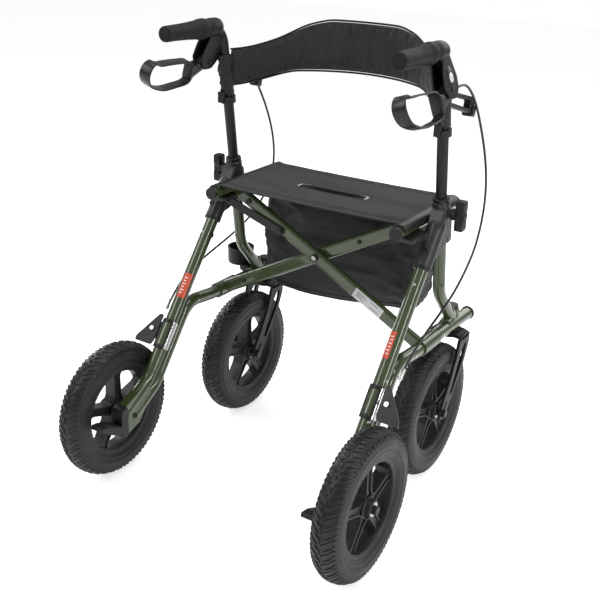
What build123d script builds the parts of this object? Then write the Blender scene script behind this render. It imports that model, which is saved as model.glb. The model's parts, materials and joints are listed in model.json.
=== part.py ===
from build123d import *
import os
from math import cos, radians, sin, tan

# Rollator walker: two welded side frames joined by a folding scissor brace under a seat,
# telescopic handle posts with loop brake levers, two fixed and two swivelling wheels.
# Millimetres; +X right, +Y forward, +Z up. The origin is on the floor at the middle of
# the footprint. at() takes y forward from the rear axle. Every paired piece is drawn on
# the right-hand side and mirrored to the left.

# ---- driving dimensions ----
REAR_AXLE_Y = -201.0          # the rear axle, seen from the middle of the footprint
WHEEL_RADIUS = 150.0
TYRE_WIDTH = 55.0
BEAD_RADIUS = 101.0
WINDOW_RADIUS = 88.0
SPOKES = 5
HUB_RADIUS = 21.0
HUB_WIDTH = 52.0
BEARING_RADIUS = 14.0
AXLE_RADIUS = 6.0
RUNNING_CLEARANCE = 0.06
OPEN_GAP = 0.5

REAR_WHEEL_X = 307.0
FRONT_WHEEL_X = 247.0
FRONT_AXLE_Y = 402.0
CASTER_Y = 485.0

LEG_X = 257.0
LEG_RADIUS = 14.0
SIDE_TUBE_X = 259.0
SIDE_TUBE_Z = 336.5
POST_X = 253.0
POST_RADIUS = 11.1
DOWN_TUBE_RADIUS = 12.7
WALL = 1.5
TUBE_PITCH = 29.0             # leg to lower tube, where the two run side by side

GRIP_Z = 931.0
POST_LEAN = 0.1502            # rearward lean of the post, mm of y per mm of z
POST_REF_Y, POST_REF_Z = 361.5, 633.0
POST_FOOT_Z = 574.0
COLLAR_TOP_Z = 640.0
LEVER_TILT = 18.0             # degrees that the brake levers lean outboard

SEAT_TUBE_X = 220.5
SEAT_TUBE_Z = 592.5
SEAT_TUBE_RADIUS = 12.7
SEAT_REAR_Y, SEAT_FRONT_Y = 240.0, 502.0
ARM_WIDTH, ARM_THICK = 30.0, 15.0
ARM_A_Y, ARM_B_Y = 333.5, 316.5
SLEEVE_Y = (304.0, 374.0)
LINK_HOUSING = (226.0, 562.0)   # x, z of the link's pivot on the housing
LINK_ARM = (88.3, 516.7)        # x, z of the link's pivot on the arm
CABLE_RADIUS = 2.5


def at(x, y, z):
    """A point, its y measured forward from the rear axle."""
    return (x, REAR_AXLE_Y + y, z)


def post_y(z):
    """The y of the post's axis at height z."""
    return POST_REF_Y - POST_LEAN * (z - POST_REF_Z)


def rod(start, end, radius, bore=0.0):
    """A round bar between two points, or a straight tube when a bore is given."""
    run = Vector(*end) - Vector(*start)
    with BuildPart() as bar:
        with BuildSketch(Plane(origin=start, z_dir=run)):
            Circle(radius)
            if bore:
                Circle(bore, mode=Mode.SUBTRACT)
        extrude(amount=run.length)
    return bar.part


def bent_bar(points, radii, radius):
    """A round bar along straight runs joined by tangent arcs."""
    with BuildPart() as bar:
        with BuildLine() as path:
            FilletPolyline(*points, radius=radii)
        with BuildSketch(Plane(origin=path.line @ 0, z_dir=path.line % 0)):
            Circle(radius)
        sweep()
    return bar.part


def side_plate(outline, x_low, x_high, corner=0.0):
    """A plate parallel to the side of the walker, from a (y, z) outline."""
    with BuildPart() as plate:
        with BuildSketch(Plane(origin=at(x_low, 0, 0), x_dir=(0, 1, 0), z_dir=(1, 0, 0))):
            with BuildLine():
                Polyline(*outline, close=True)
            make_face()
            if corner:
                fillet(vertices(), radius=corner)
        extrude(amount=x_high - x_low)
    return plate.part


def block(x, y, z):
    """A plain block between (low, high) pairs, y from the rear axle."""
    with BuildPart() as body:
        with Locations(at((x[0] + x[1]) / 2, (y[0] + y[1]) / 2, (z[0] + z[1]) / 2)):
            Box(x[1] - x[0], y[1] - y[0], z[1] - z[0])
    return body.part


def hexagon(start, end, radius):
    """A hexagonal nut or bolt head between two points."""
    run = Vector(*end) - Vector(*start)
    with BuildPart() as nut:
        with BuildSketch(Plane(origin=start, z_dir=run)):
            RegularPolygon(radius=radius, side_count=6)
        extrude(amount=run.length)
    return nut.part


def joined(*pieces):
    """Pieces welded or moulded into one."""
    with BuildPart() as body:
        for piece in pieces:
            add(piece)
    return body.part


def cut(body_piece, *tools):
    """A piece with the room for others taken out of it."""
    with BuildPart() as body:
        add(body_piece)
        for tool in tools:
            add(tool, mode=Mode.SUBTRACT)
    return body.part


os.makedirs("parts", exist_ok=True)
saved = []


def save(piece, label):
    """Write one sub-part."""
    piece.label = label
    export_step(piece, f"parts/{label}.step")
    saved.append(label)


def save_pair(piece, label):
    """Write a right-hand sub-part and its mirror image on the left."""
    save(piece, f"right_{label}")
    save(mirror(piece, about=Plane.YZ), f"left_{label}")


# ---- wheels ----
def wheel_plane(x, y):
    """The wheel's section plane: x across the wheel, its height radial."""
    return Plane(origin=at(x, y, WHEEL_RADIUS), x_dir=(1, 0, 0), z_dir=(0, -1, 0))


def make_tyre(x, y):
    """A tyre with a rounded crown, open towards the rim that it sits on."""
    half = TYRE_WIDTH / 2
    with BuildPart() as tyre:
        with BuildSketch(wheel_plane(x, y)):
            with BuildLine():
                Line((-half + 6, BEAD_RADIUS), (half - 6, BEAD_RADIUS))
                Line((half - 6, BEAD_RADIUS), (half, BEAD_RADIUS + 20))
                Line((half, BEAD_RADIUS + 20), (half - 4, WHEEL_RADIUS - 9))
                ThreePointArc((half - 4, WHEEL_RADIUS - 9), (0, WHEEL_RADIUS),
                              (-half + 4, WHEEL_RADIUS - 9))
                Line((-half + 4, WHEEL_RADIUS - 9), (-half, BEAD_RADIUS + 20))
                Line((-half, BEAD_RADIUS + 20), (-half + 6, BEAD_RADIUS))
            make_face()
            with BuildLine():
                Polyline((-13, BEAD_RADIUS - 1), (13, BEAD_RADIUS - 1), (20, BEAD_RADIUS + 19),
                         (16, BEAD_RADIUS + 37), (0, BEAD_RADIUS + 40), (-16, BEAD_RADIUS + 37),
                         (-20, BEAD_RADIUS + 19), close=True)
            make_face(mode=Mode.SUBTRACT)
        revolve(axis=Axis(at(x, y, WHEEL_RADIUS), (1, 0, 0)))
    return tyre.part


def make_rim(x, y):
    """A moulded rim: barrel, deep spokes and a long hub bored for two bearings."""
    face = Plane(origin=at(x, y, WHEEL_RADIUS), x_dir=(0, 1, 0), z_dir=(1, 0, 0))
    spoke_reach = (WINDOW_RADIUS + HUB_RADIUS) / 2
    with BuildPart() as rim:
        with BuildSketch(face):
            Circle(BEAD_RADIUS)
            Circle(WINDOW_RADIUS, mode=Mode.SUBTRACT)
        extrude(amount=TYRE_WIDTH / 2 - 6, both=True)
        with BuildSketch(face):
            with PolarLocations(spoke_reach, SPOKES, start_angle=90):
                Rectangle(WINDOW_RADIUS - HUB_RADIUS + 6, 18)
        extrude(amount=13, both=True)
        with BuildSketch(face):
            Circle(HUB_RADIUS)
        extrude(amount=HUB_WIDTH / 2, both=True)
        with BuildSketch(face):
            Circle(BEARING_RADIUS)
        extrude(amount=HUB_WIDTH, both=True, mode=Mode.SUBTRACT)
        with BuildSketch(face):
            Circle(BEARING_RADIUS)
            Circle(AXLE_RADIUS + 3, mode=Mode.SUBTRACT)
        extrude(amount=HUB_WIDTH / 2 - 10, both=True)
    return rim.part


def make_bearings(x, y):
    """The two ball bearings pressed into the hub's ends."""
    half = HUB_WIDTH / 2
    with BuildPart() as bearings:
        for side in (-1, 1):
            inner = at(x + side * (half - 10), y, WHEEL_RADIUS)
            with BuildSketch(Plane(origin=inner, z_dir=(side, 0, 0))):
                Circle(BEARING_RADIUS)
                Circle(AXLE_RADIUS + RUNNING_CLEARANCE, mode=Mode.SUBTRACT)
            extrude(amount=10)
    return bearings.part


save_pair(make_tyre(REAR_WHEEL_X, 0), "rear_tyre")
save_pair(make_rim(REAR_WHEEL_X, 0), "rear_rim")
save_pair(make_bearings(REAR_WHEEL_X, 0), "rear_bearings")
save_pair(make_tyre(FRONT_WHEEL_X, FRONT_AXLE_Y), "front_tyre")
save_pair(make_rim(FRONT_WHEEL_X, FRONT_AXLE_Y), "front_rim")
save_pair(make_bearings(FRONT_WHEEL_X, FRONT_AXLE_Y), "front_bearings")

# ---- welded side frame ----
LEG_TOP, LEG_BEND, LEG_END = (304, 537), (58, 212), (-22, 162)
SIDE_BEND_LOW, SIDE_BEND_HIGH = (78, 190), (196, 346)
SIDE_END_LOW = (6, 145)
SIDE_FRONT_Y = 545.0
HEAD_Z = (317.0, 364.0)
DOWN_TOP_Z, DOWN_BEND_Z = 566.0, 430.0


def yz(x, pairs):
    """Points of a path in one upright plane."""
    return [at(x, y, z) for y, z in pairs]


leg_path = yz(LEG_X, [LEG_TOP, LEG_BEND, LEG_END])
side_path = yz(SIDE_TUBE_X, [SIDE_END_LOW, SIDE_BEND_LOW, SIDE_BEND_HIGH,
                             (284, SIDE_TUBE_Z), (396, SIDE_TUBE_Z), (SIDE_FRONT_Y, 331)])
side_radii = [60, 60, 250, 300]
down_path = yz(POST_X, [(post_y(DOWN_TOP_Z), DOWN_TOP_Z), (post_y(DOWN_BEND_Z), DOWN_BEND_Z),
                        (476, 336)])
leg = bent_bar(leg_path, 60, LEG_RADIUS)
side_tube = bent_bar(side_path, side_radii, LEG_RADIUS)
down_tube = bent_bar(down_path, 70, DOWN_TUBE_RADIUS)
leg_hollow = bent_bar(leg_path, 60, LEG_RADIUS - WALL)
side_hollow = bent_bar(side_path, side_radii, LEG_RADIUS - WALL)
post_bore = rod(at(POST_X, post_y(DOWN_TOP_Z + 2), DOWN_TOP_Z + 2),
                at(POST_X, post_y(DOWN_BEND_Z + 34), DOWN_BEND_Z + 34),
                POST_RADIUS + RUNNING_CLEARANCE)
head_axis = [at(FRONT_WHEEL_X, CASTER_Y, z) for z in HEAD_Z]
head_tube = rod(head_axis[0], head_axis[1], 17)
head_bore = rod(at(FRONT_WHEEL_X, CASTER_Y, HEAD_Z[0] - 1), at(FRONT_WHEEL_X, CASTER_Y, HEAD_Z[1] + 1),
                8 + RUNNING_CLEARANCE)
axle_plate = side_plate([(-35, 124), (-35, 172), (-24, 184), (30, 206), (56, 190), (40, 160),
                         (14, 128), (-20, 116)], LEG_X - 10, LEG_X + 10, corner=4)
axle_hole = rod(at(LEG_X - 20, 0, WHEEL_RADIUS), at(LEG_X + 20, 0, WHEEL_RADIUS), AXLE_RADIUS)

with BuildPart() as side_frame:
    add(leg)
    add(side_tube)
    add(down_tube)
    add(leg_hollow, mode=Mode.SUBTRACT)
    add(side_hollow, mode=Mode.SUBTRACT)
    add(head_tube)
    add(axle_plate)
    add(post_bore, mode=Mode.SUBTRACT)
    add(head_bore, mode=Mode.SUBTRACT)
    add(axle_hole, mode=Mode.SUBTRACT)
save_pair(side_frame.part, "side_frame")

# ---- cast joint housing: leg socket, down tube socket and post collar ----
HOUSING_X = 255.5
collar = rod(at(POST_X, post_y(618), 618), at(POST_X, post_y(COLLAR_TOP_Z), COLLAR_TOP_Z), 17)
post_socket = rod(at(POST_X, post_y(534), 534), at(POST_X, post_y(632), 632), 19)
leg_socket = rod(at(LEG_X, 289, 517.2), at(LEG_X, 340, 584.6), 18)
web = side_plate([(300, 530), (330, 528), (368, 536), (352, 632), (343, 600)],
                 HOUSING_X - 14, HOUSING_X + 14, corner=2)
post_guide = rod(at(POST_X, post_y(530), 530), at(POST_X, post_y(645), 645),
                 POST_RADIUS + RUNNING_CLEARANCE)
KNOB_Z = 612.0
knob_hole = rod(at(POST_X, post_y(KNOB_Z), KNOB_Z), at(290, post_y(KNOB_Z), KNOB_Z),
                4 + RUNNING_CLEARANCE)
knob_boss = rod(at(262, post_y(KNOB_Z), KNOB_Z), at(277, post_y(KNOB_Z), KNOB_Z), 9)
link_pin_hole = rod(at(LINK_HOUSING[0], 290, LINK_HOUSING[1]), at(LINK_HOUSING[0], 360, LINK_HOUSING[1]),
                    4 + RUNNING_CLEARANCE)
right_lug = block((219, 258), (347, 353), (552, 571))
left_lug = block((219, 258), (296, 302), (552, 571))
cradle = block((208, 237), (262, 296), (570, 579.2))
cradle_arm = block((235, 248), (262, 325), (566, 579.2))

housing_shape = joined(collar, post_socket, leg_socket, web, knob_boss, cradle, cradle_arm)


def make_housing(lug):
    """The housing with its link lug, bored for the tubes, the post and the knob's screw."""
    whole = joined(housing_shape, lug)
    return cut(whole, leg, down_tube, post_guide, knob_hole, link_pin_hole)


save(make_housing(right_lug), "right_joint_housing")
save(mirror(make_housing(left_lug), about=Plane.YZ), "left_joint_housing")

# ---- fasteners of the side frame, as one group ----
bolt_dir = Vector(0, -0.797, 0.604)


def on_leg(z, x=LEG_X, out=0.0):
    """A point beside the leg's axis at height z, out along the leg's rear normal."""
    y = LEG_TOP[0] - (LEG_TOP[1] - z) * (LEG_TOP[0] - LEG_BEND[0]) / (LEG_TOP[1] - LEG_BEND[1])
    point = Vector(*at(x, y, z)) + bolt_dir * out
    return (point.X, point.Y, point.Z)


housing_bolt = rod(on_leg(540, out=18.3), on_leg(540, out=20.8), 6.5)
clip_bolt = cut(rod(on_leg(486, LEG_X - 12), on_leg(486, LEG_X - 17), 4.5), leg)
axle_head = hexagon(at(LEG_X - 10, 0, WHEEL_RADIUS), at(LEG_X - 16, 0, WHEEL_RADIUS), 10)
save_pair(joined(housing_bolt, clip_bolt, cut(axle_head, leg, side_tube)), "frame_fasteners")

# ---- rear axle: bolt, spacer and outer nut ----
hub_face = REAR_WHEEL_X + HUB_WIDTH / 2
axle_bolt = rod(at(LEG_X - 10, 0, WHEEL_RADIUS), at(hub_face + 8, 0, WHEEL_RADIUS), AXLE_RADIUS)
axle_spacer = rod(at(LEG_X + 10, 0, WHEEL_RADIUS),
                  at(REAR_WHEEL_X - HUB_WIDTH / 2 - OPEN_GAP, 0, WHEEL_RADIUS), 9)
axle_nut = hexagon(at(hub_face + OPEN_GAP, 0, WHEEL_RADIUS), at(hub_face + 8, 0, WHEEL_RADIUS), 9.5)
save_pair(joined(axle_bolt, cut(axle_spacer, side_tube), axle_nut), "rear_axle")

# ---- tube caps: front end of the side tube, and the bracket over the leg's end ----
front_cap = rod(at(SIDE_TUBE_X, SIDE_FRONT_Y + 0.6, 331), at(SIDE_TUBE_X, SIDE_FRONT_Y + 6, 330.8),
                LEG_RADIUS + 1.5)
leg_bracket = cut(side_plate([(-46, 122), (-46, 172), (-40, 180), (-26, 184), (-26, 116),
                              (-38, 114)], LEG_X - 15, LEG_X + 15, corner=3),
                  axle_plate, leg, side_tube)
save_pair(joined(front_cap, leg_bracket), "tube_caps")

# ---- kerb pedal: the ribbed tongue that tips the walker over a step ----
pedal = side_plate([(-46.3, 128), (-46.3, 144), (-86, 163), (-104, 166), (-106, 158), (-60, 130)],
                   LEG_X - 16, LEG_X + 16, corner=3)
save_pair(pedal, "kerb_pedal")

# ---- brake bracket on the leg ----
BRACKET_Z = (268.0, 318.0)
sleeve = rod(on_leg(BRACKET_Z[0]), on_leg(BRACKET_Z[1]), LEG_RADIUS + 2.5, LEG_RADIUS)
leg_face = Plane(origin=on_leg(293), x_dir=(1, 0, 0), z_dir=bolt_dir)
with BuildPart() as bracket:
    with BuildSketch(leg_face.offset(4)):
        with Locations((24, 4)):
            Rectangle(20, 40)
    extrude(amount=4)
    add(sleeve)
    add(rod(on_leg(280), on_leg(310), LEG_RADIUS), mode=Mode.SUBTRACT)
    add(leg, mode=Mode.SUBTRACT)
    add(side_tube, mode=Mode.SUBTRACT)
NUT_X, NUT_UP = 32.0, 4.0
with BuildPart() as brake_bracket:
    add(bracket.part)
    with BuildSketch(leg_face.offset(7.9)):
        with Locations((NUT_X, NUT_UP)):
            Circle(5)
    extrude(amount=8)
save_pair(brake_bracket.part, "brake_bracket")

# ---- brake arm: a plate that rocks on the bracket's pin and presses on the tyre ----
with BuildPart() as brake_arm:
    with BuildSketch(leg_face.offset(8.5)):
        with BuildLine():
            Polyline((18, 40), (27, 40), (66, -20), (67, -31), (22, -31), (18, -20), close=True)
        make_face()
        fillet(vertices(), radius=4)
        with Locations((NUT_X, NUT_UP)):
            Circle(5 + RUNNING_CLEARANCE, mode=Mode.SUBTRACT)
    extrude(amount=3)
    with BuildSketch(leg_face.offset(2)):
        with Locations((48, -29)):
            Rectangle(36, 4)
    extrude(amount=8)
save_pair(brake_arm.part, "brake_arm")

# ---- caster fork ----
FORK_INNER, FORK_OUTER = 32.0, 38.0
blade_outline = [(388, 136), (402, 134), (418, 142), (500, 262), (510, 296), (504, 312),
                 (466, 314), (462, 296), (452, 262), (388, 164)]


def blade(x_low, x_high):
    """One side of the fork, with its long slot."""
    plate = side_plate(blade_outline, x_low, x_high, corner=5)
    middle = (x_low + x_high) / 2
    with BuildPart() as slotted:
        add(plate)
        with BuildSketch(Plane(origin=at(x_low - 1, 452, 226), x_dir=(0, 0.574, 0.819),
                               z_dir=(1, 0, 0))):
            SlotOverall(84, 12)
        extrude(amount=x_high - x_low + 2, mode=Mode.SUBTRACT)
    return slotted.part


crown = side_plate([(464, 302), (464, 315), (508, 315), (511, 302)],
                   FRONT_WHEEL_X - FORK_OUTER, FRONT_WHEEL_X + FORK_OUTER, corner=4)
fork_core = joined(crown,
                   blade(FRONT_WHEEL_X - FORK_OUTER, FRONT_WHEEL_X - FORK_INNER),
                   blade(FRONT_WHEEL_X + FORK_INNER, FRONT_WHEEL_X + FORK_OUTER))
fork_axle_hole = rod(at(FRONT_WHEEL_X - 50, FRONT_AXLE_Y, WHEEL_RADIUS),
                     at(FRONT_WHEEL_X + 50, FRONT_AXLE_Y, WHEEL_RADIUS), AXLE_RADIUS)
stem_hole = rod(at(FRONT_WHEEL_X, CASTER_Y, 296), at(FRONT_WHEEL_X, CASTER_Y, 320), 8)
save_pair(cut(fork_core, fork_axle_hole, stem_hole), "caster_fork")

stem = rod(at(FRONT_WHEEL_X, CASTER_Y, 302), at(FRONT_WHEEL_X, CASTER_Y, 368), 8)
stem_cap = rod(at(FRONT_WHEEL_X, CASTER_Y, HEAD_Z[1] + OPEN_GAP), at(FRONT_WHEEL_X, CASTER_Y, 371), 14)
front_hub_face = HUB_WIDTH / 2
front_axle = joined(
    rod(at(FRONT_WHEEL_X - 42, FRONT_AXLE_Y, WHEEL_RADIUS),
        at(FRONT_WHEEL_X + 42, FRONT_AXLE_Y, WHEEL_RADIUS), AXLE_RADIUS),
    hexagon(at(FRONT_WHEEL_X + FORK_OUTER, FRONT_AXLE_Y, WHEEL_RADIUS),
            at(FRONT_WHEEL_X + 45, FRONT_AXLE_Y, WHEEL_RADIUS), 9.5),
    hexagon(at(FRONT_WHEEL_X - FORK_OUTER, FRONT_AXLE_Y, WHEEL_RADIUS),
            at(FRONT_WHEEL_X - 45, FRONT_AXLE_Y, WHEEL_RADIUS), 9.5),
    rod(at(FRONT_WHEEL_X + front_hub_face + OPEN_GAP, FRONT_AXLE_Y, WHEEL_RADIUS),
        at(FRONT_WHEEL_X + FORK_INNER, FRONT_AXLE_Y, WHEEL_RADIUS), 8.5),
    rod(at(FRONT_WHEEL_X - front_hub_face - OPEN_GAP, FRONT_AXLE_Y, WHEEL_RADIUS),
        at(FRONT_WHEEL_X - FORK_INNER, FRONT_AXLE_Y, WHEEL_RADIUS), 8.5))
save_pair(joined(stem, stem_cap, front_axle), "fork_stem_and_axle")

# ---- handle: post, grip, brake body, lever, cable guide and backrest clamp ----
GRIP_END_Y, GRIP_FRONT_Y = 132.5, 262.0
post_path = yz(POST_X, [(post_y(POST_FOOT_Z), POST_FOOT_Z), (post_y(GRIP_Z), GRIP_Z),
                        (GRIP_END_Y + 4, GRIP_Z)])
post = bent_bar(post_path, 46, POST_RADIUS)
save_pair(cut(post, bent_bar(post_path, 46, POST_RADIUS - WALL)), "handle_post")

grip_section = Plane(origin=at(POST_X, 0, GRIP_Z), x_dir=(0, 1, 0), z_dir=(1, 0, 0))
with BuildPart() as grip:
    with BuildSketch(grip_section):
        with BuildLine():
            Polyline((GRIP_END_Y, 0), (GRIP_END_Y, 14), (GRIP_END_Y + 3, 16.5), (190, 16.5),
                     (228, 17.5), (240, 21), (252, 21), (260, 18), (GRIP_FRONT_Y, 16),
                     (GRIP_FRONT_Y, 0), close=True)
        make_face()
    revolve(axis=Axis(at(POST_X, 0, GRIP_Z), (0, 1, 0)))
    add(post, mode=Mode.SUBTRACT)
save_pair(grip.part, "grip")

tilt = radians(LEVER_TILT)
lever_plane = Plane(origin=at(POST_X, 0, GRIP_Z), x_dir=(0, 1, 0), z_dir=(cos(tilt), 0, sin(tilt)))
LEVER_PIVOT = (286.0, -70.0)
BODY_HALF = 13.0
TONGUE_HALF = 5.0
with BuildPart() as brake_body:
    with BuildSketch(lever_plane):
        with BuildLine():
            Polyline((264, 0), (300, 0), (306, -14), (317, -56), (302, -86), (270, -86),
                     (256, -60), (266, -20), close=True)
        make_face()
        fillet(vertices(), radius=3)
    extrude(amount=BODY_HALF, both=True)
    add(rod(at(POST_X, 264, GRIP_Z), at(POST_X, 300, GRIP_Z), 17.5))
    with BuildSketch(lever_plane):
        with Locations((280, -68)):
            Rectangle(80, 44)
    extrude(amount=TONGUE_HALF + OPEN_GAP, both=True, mode=Mode.SUBTRACT)
    add(post, mode=Mode.SUBTRACT)
    with BuildSketch(lever_plane):
        with Locations(LEVER_PIVOT):
            Circle(4)
    extrude(amount=BODY_HALF, both=True)
save_pair(brake_body.part, "brake_body")

LOOP = [(98, -78), (106, -57), (122, -55), (136, -63), (160, -60), (228, -66), (240, -78),
        (243, -104), (232, -117), (160, -121), (112, -104)]
LOOP_BAND = 3.6
LOOP_HALF = 12.0
with BuildPart() as brake_lever:
    with BuildSketch(lever_plane):
        with BuildLine():
            FilletPolyline(*LOOP, radius=5, close=True)
        make_face()
        offset(amount=-LOOP_BAND, mode=Mode.SUBTRACT)
    extrude(amount=LOOP_HALF, both=True)
    with BuildSketch(lever_plane):
        with BuildLine():
            Polyline((239, -80), (262, -74), (280, -61), (296, -61), (297, -78), (264, -94),
                     (240, -104), close=True)
        make_face()
        fillet(vertices(), radius=2)
        with Locations(LEVER_PIVOT):
            Circle(4 + RUNNING_CLEARANCE, mode=Mode.SUBTRACT)
    extrude(amount=TONGUE_HALF, both=True)
save_pair(brake_lever.part, "brake_lever")

CLAMP_Z = 776.0
clamp_low = at(POST_X, post_y(CLAMP_Z - 7), CLAMP_Z - 7)
clamp_high = at(POST_X, post_y(CLAMP_Z + 7), CLAMP_Z + 7)
clamp_ring = cut(joined(rod(clamp_low, clamp_high, 16.5),
                        block((POST_X - 9, POST_X + 9), (316, 340), (CLAMP_Z - 6, CLAMP_Z + 6)),
                        block((POST_X - 7, POST_X + 7), (312, 317), (CLAMP_Z - 4, CLAMP_Z + 18))),
                 post)
save_pair(clamp_ring, "backrest_clamp")

GUIDE_Z, GUIDE_FRONT_Y = 843.0, 462.0
guide_y = post_y(GUIDE_Z)
guide_dir = Vector(0, 0.966, -0.259)
guide_mid = Vector(*at(POST_X + 3, guide_y, GUIDE_Z)) + guide_dir * 58
guide_plane = Plane(origin=guide_mid, x_dir=guide_dir, z_dir=(0, 0.259, 0.966))
CABLE_POINTS = [(276, 322, 862), (272, 366, 866), (269, 411, 850), (268, 452, 815),
                (268, 492, 760), (269, 525, 702), (270, 546, 645), (271, 551, 590),
                (273, 537, 540), (277, 504, 497), (281, 454, 464), (287, 392, 439),
                (291, 322, 419), (292, 254, 399), (291, 204, 375), (288, 168, 342)]
with BuildPart() as guide:
    with BuildSketch(guide_plane):
        RectangleRounded(146, 34, 14)
        RectangleRounded(138, 26, 10, mode=Mode.SUBTRACT)
    extrude(amount=7, both=True)
    with BuildSketch(guide_plane):
        with Locations((68, -11)):
            RectangleRounded(18, 20, 4)
    extrude(amount=11, both=True)
    add(rod(at(POST_X, post_y(GUIDE_Z - 8), GUIDE_Z - 8), at(POST_X, post_y(GUIDE_Z + 8), GUIDE_Z + 8),
            14.5))
    add(post, mode=Mode.SUBTRACT)


def cord_radii(points):
    """The largest arc each corner of a cord's route allows."""
    radii = []
    for before, corner, after in zip(points, points[1:], points[2:]):
        run_in = Vector(*corner) - Vector(*before)
        run_out = Vector(*after) - Vector(*corner)
        turn = radians(run_in.get_angle(run_out))
        radii.append(0.45 * min(run_in.length, run_out.length) / tan(turn / 2))
    return radii


cable_path = [at(*point) for point in CABLE_POINTS]
cable_radii = cord_radii(cable_path)
cable = bent_bar(cable_path, cable_radii, CABLE_RADIUS)
cable_room = bent_bar(cable_path, cable_radii, CABLE_RADIUS + 0.8)
save_pair(cut(guide.part, cable_room), "cable_guide")
save_pair(cable, "brake_cable")

# ---- height knob ----
knob_y = post_y(KNOB_Z)
with BuildPart() as knob:
    add(rod(at(POST_X + POST_RADIUS + OPEN_GAP, knob_y, KNOB_Z), at(280, knob_y, KNOB_Z), 4))
    add(rod(at(277 + OPEN_GAP, knob_y, KNOB_Z), at(291, knob_y, KNOB_Z), 10.5))
    with BuildSketch(Plane(origin=at(288, knob_y, KNOB_Z), x_dir=(0, 1, 0), z_dir=(1, 0, 0))):
        RectangleRounded(20, 62, 6)
    extrude(amount=17)
save_pair(knob.part, "height_knob")

# ---- scissor brace ----
PIVOT_L = Vector(*at(-SIDE_TUBE_X, 0, SIDE_TUBE_Z))
SEAT_R = Vector(*at(SEAT_TUBE_X, 0, SEAT_TUBE_Z))
arm_slope = (SEAT_TUBE_Z - SIDE_TUBE_Z) / (SEAT_TUBE_X + SIDE_TUBE_X)
CROSS_Z = SIDE_TUBE_Z + SIDE_TUBE_X * arm_slope
arm_dir = Vector(1, 0, arm_slope).normalized()
arm_length = (SEAT_R - PIVOT_L).length
pivot_hole = rod(at(0, 290, CROSS_Z), at(0, 360, CROSS_Z), 4 + RUNNING_CLEARANCE)
side_tube_room = rod(at(-SIDE_TUBE_X, 290, SIDE_TUBE_Z), at(-SIDE_TUBE_X, 390, SIDE_TUBE_Z),
                     LEG_RADIUS + RUNNING_CLEARANCE)
seat_tube_right = rod(at(SEAT_TUBE_X, SEAT_REAR_Y, SEAT_TUBE_Z),
                      at(SEAT_TUBE_X, SEAT_FRONT_Y, SEAT_TUBE_Z), SEAT_TUBE_RADIUS,
                      SEAT_TUBE_RADIUS - WALL)
seat_tube_room = rod(at(SEAT_TUBE_X, SEAT_REAR_Y, SEAT_TUBE_Z),
                     at(SEAT_TUBE_X, SEAT_FRONT_Y, SEAT_TUBE_Z), SEAT_TUBE_RADIUS)
arm_sleeve = rod(at(-SIDE_TUBE_X, SLEEVE_Y[0], SIDE_TUBE_Z), at(-SIDE_TUBE_X, SLEEVE_Y[1], SIDE_TUBE_Z),
                 17.5)


def make_arm(y):
    """A flat-oval arm from its sleeve on the left side tube to the right seat tube."""
    start = Vector(*at(-SIDE_TUBE_X, y, SIDE_TUBE_Z))
    with BuildPart() as arm:
        with BuildSketch(Plane(origin=start, x_dir=(0, 1, 0), z_dir=arm_dir)):
            SlotOverall(ARM_WIDTH, ARM_THICK, rotation=90)
        extrude(amount=arm_length)
        add(arm_sleeve)
        add(side_tube_room, mode=Mode.SUBTRACT)
        add(seat_tube_room, mode=Mode.SUBTRACT)
        add(pivot_hole, mode=Mode.SUBTRACT)
    return arm.part.solids().sort_by(SortBy.VOLUME)[-1]


save(make_arm(ARM_A_Y), "brace_arm_a")
save(mirror(make_arm(ARM_B_Y), about=Plane.YZ), "brace_arm_b")
save(seat_tube_right, "right_seat_tube")
save(mirror(seat_tube_right, about=Plane.YZ), "left_seat_tube")


def arm_point(x, y):
    """A point on the arm's centre line."""
    return at(x, y, SIDE_TUBE_Z + (x + SIDE_TUBE_X) * arm_slope)


seat_caps = joined(
    rod(at(SEAT_TUBE_X, SEAT_REAR_Y - 6, SEAT_TUBE_Z), at(SEAT_TUBE_X, SEAT_REAR_Y, SEAT_TUBE_Z), 13.2),
    rod(at(SEAT_TUBE_X, SEAT_FRONT_Y, SEAT_TUBE_Z), at(SEAT_TUBE_X, SEAT_FRONT_Y + 6, SEAT_TUBE_Z), 13.2))
arm_half = ARM_THICK / 2
bolts_a = joined(
    rod(arm_point(173, ARM_A_Y - arm_half), arm_point(173, ARM_A_Y - arm_half - 4), 6),
    rod(arm_point(173, ARM_A_Y + arm_half), arm_point(173, ARM_A_Y + arm_half + 4), 6))
save(joined(seat_caps, bolts_a), "brace_fittings_a")
bolts_b = joined(
    rod(arm_point(173, ARM_B_Y - arm_half), arm_point(173, ARM_B_Y - arm_half - 4), 6),
    rod(arm_point(173, ARM_B_Y + arm_half), arm_point(173, ARM_B_Y + arm_half + 0.8), 6))
centre_bolt = joined(
    rod(at(0, ARM_B_Y - arm_half - 5, CROSS_Z), at(0, ARM_A_Y + arm_half + 6, CROSS_Z), 4),
    rod(at(0, ARM_B_Y - arm_half - 5, CROSS_Z), at(0, ARM_B_Y - arm_half, CROSS_Z), 8),
    hexagon(at(0, ARM_A_Y + arm_half + OPEN_GAP, CROSS_Z), at(0, ARM_A_Y + arm_half + 6, CROSS_Z), 8))
save(mirror(joined(seat_caps, bolts_b, centre_bolt), about=Plane.YZ), "brace_fittings_b")

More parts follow.
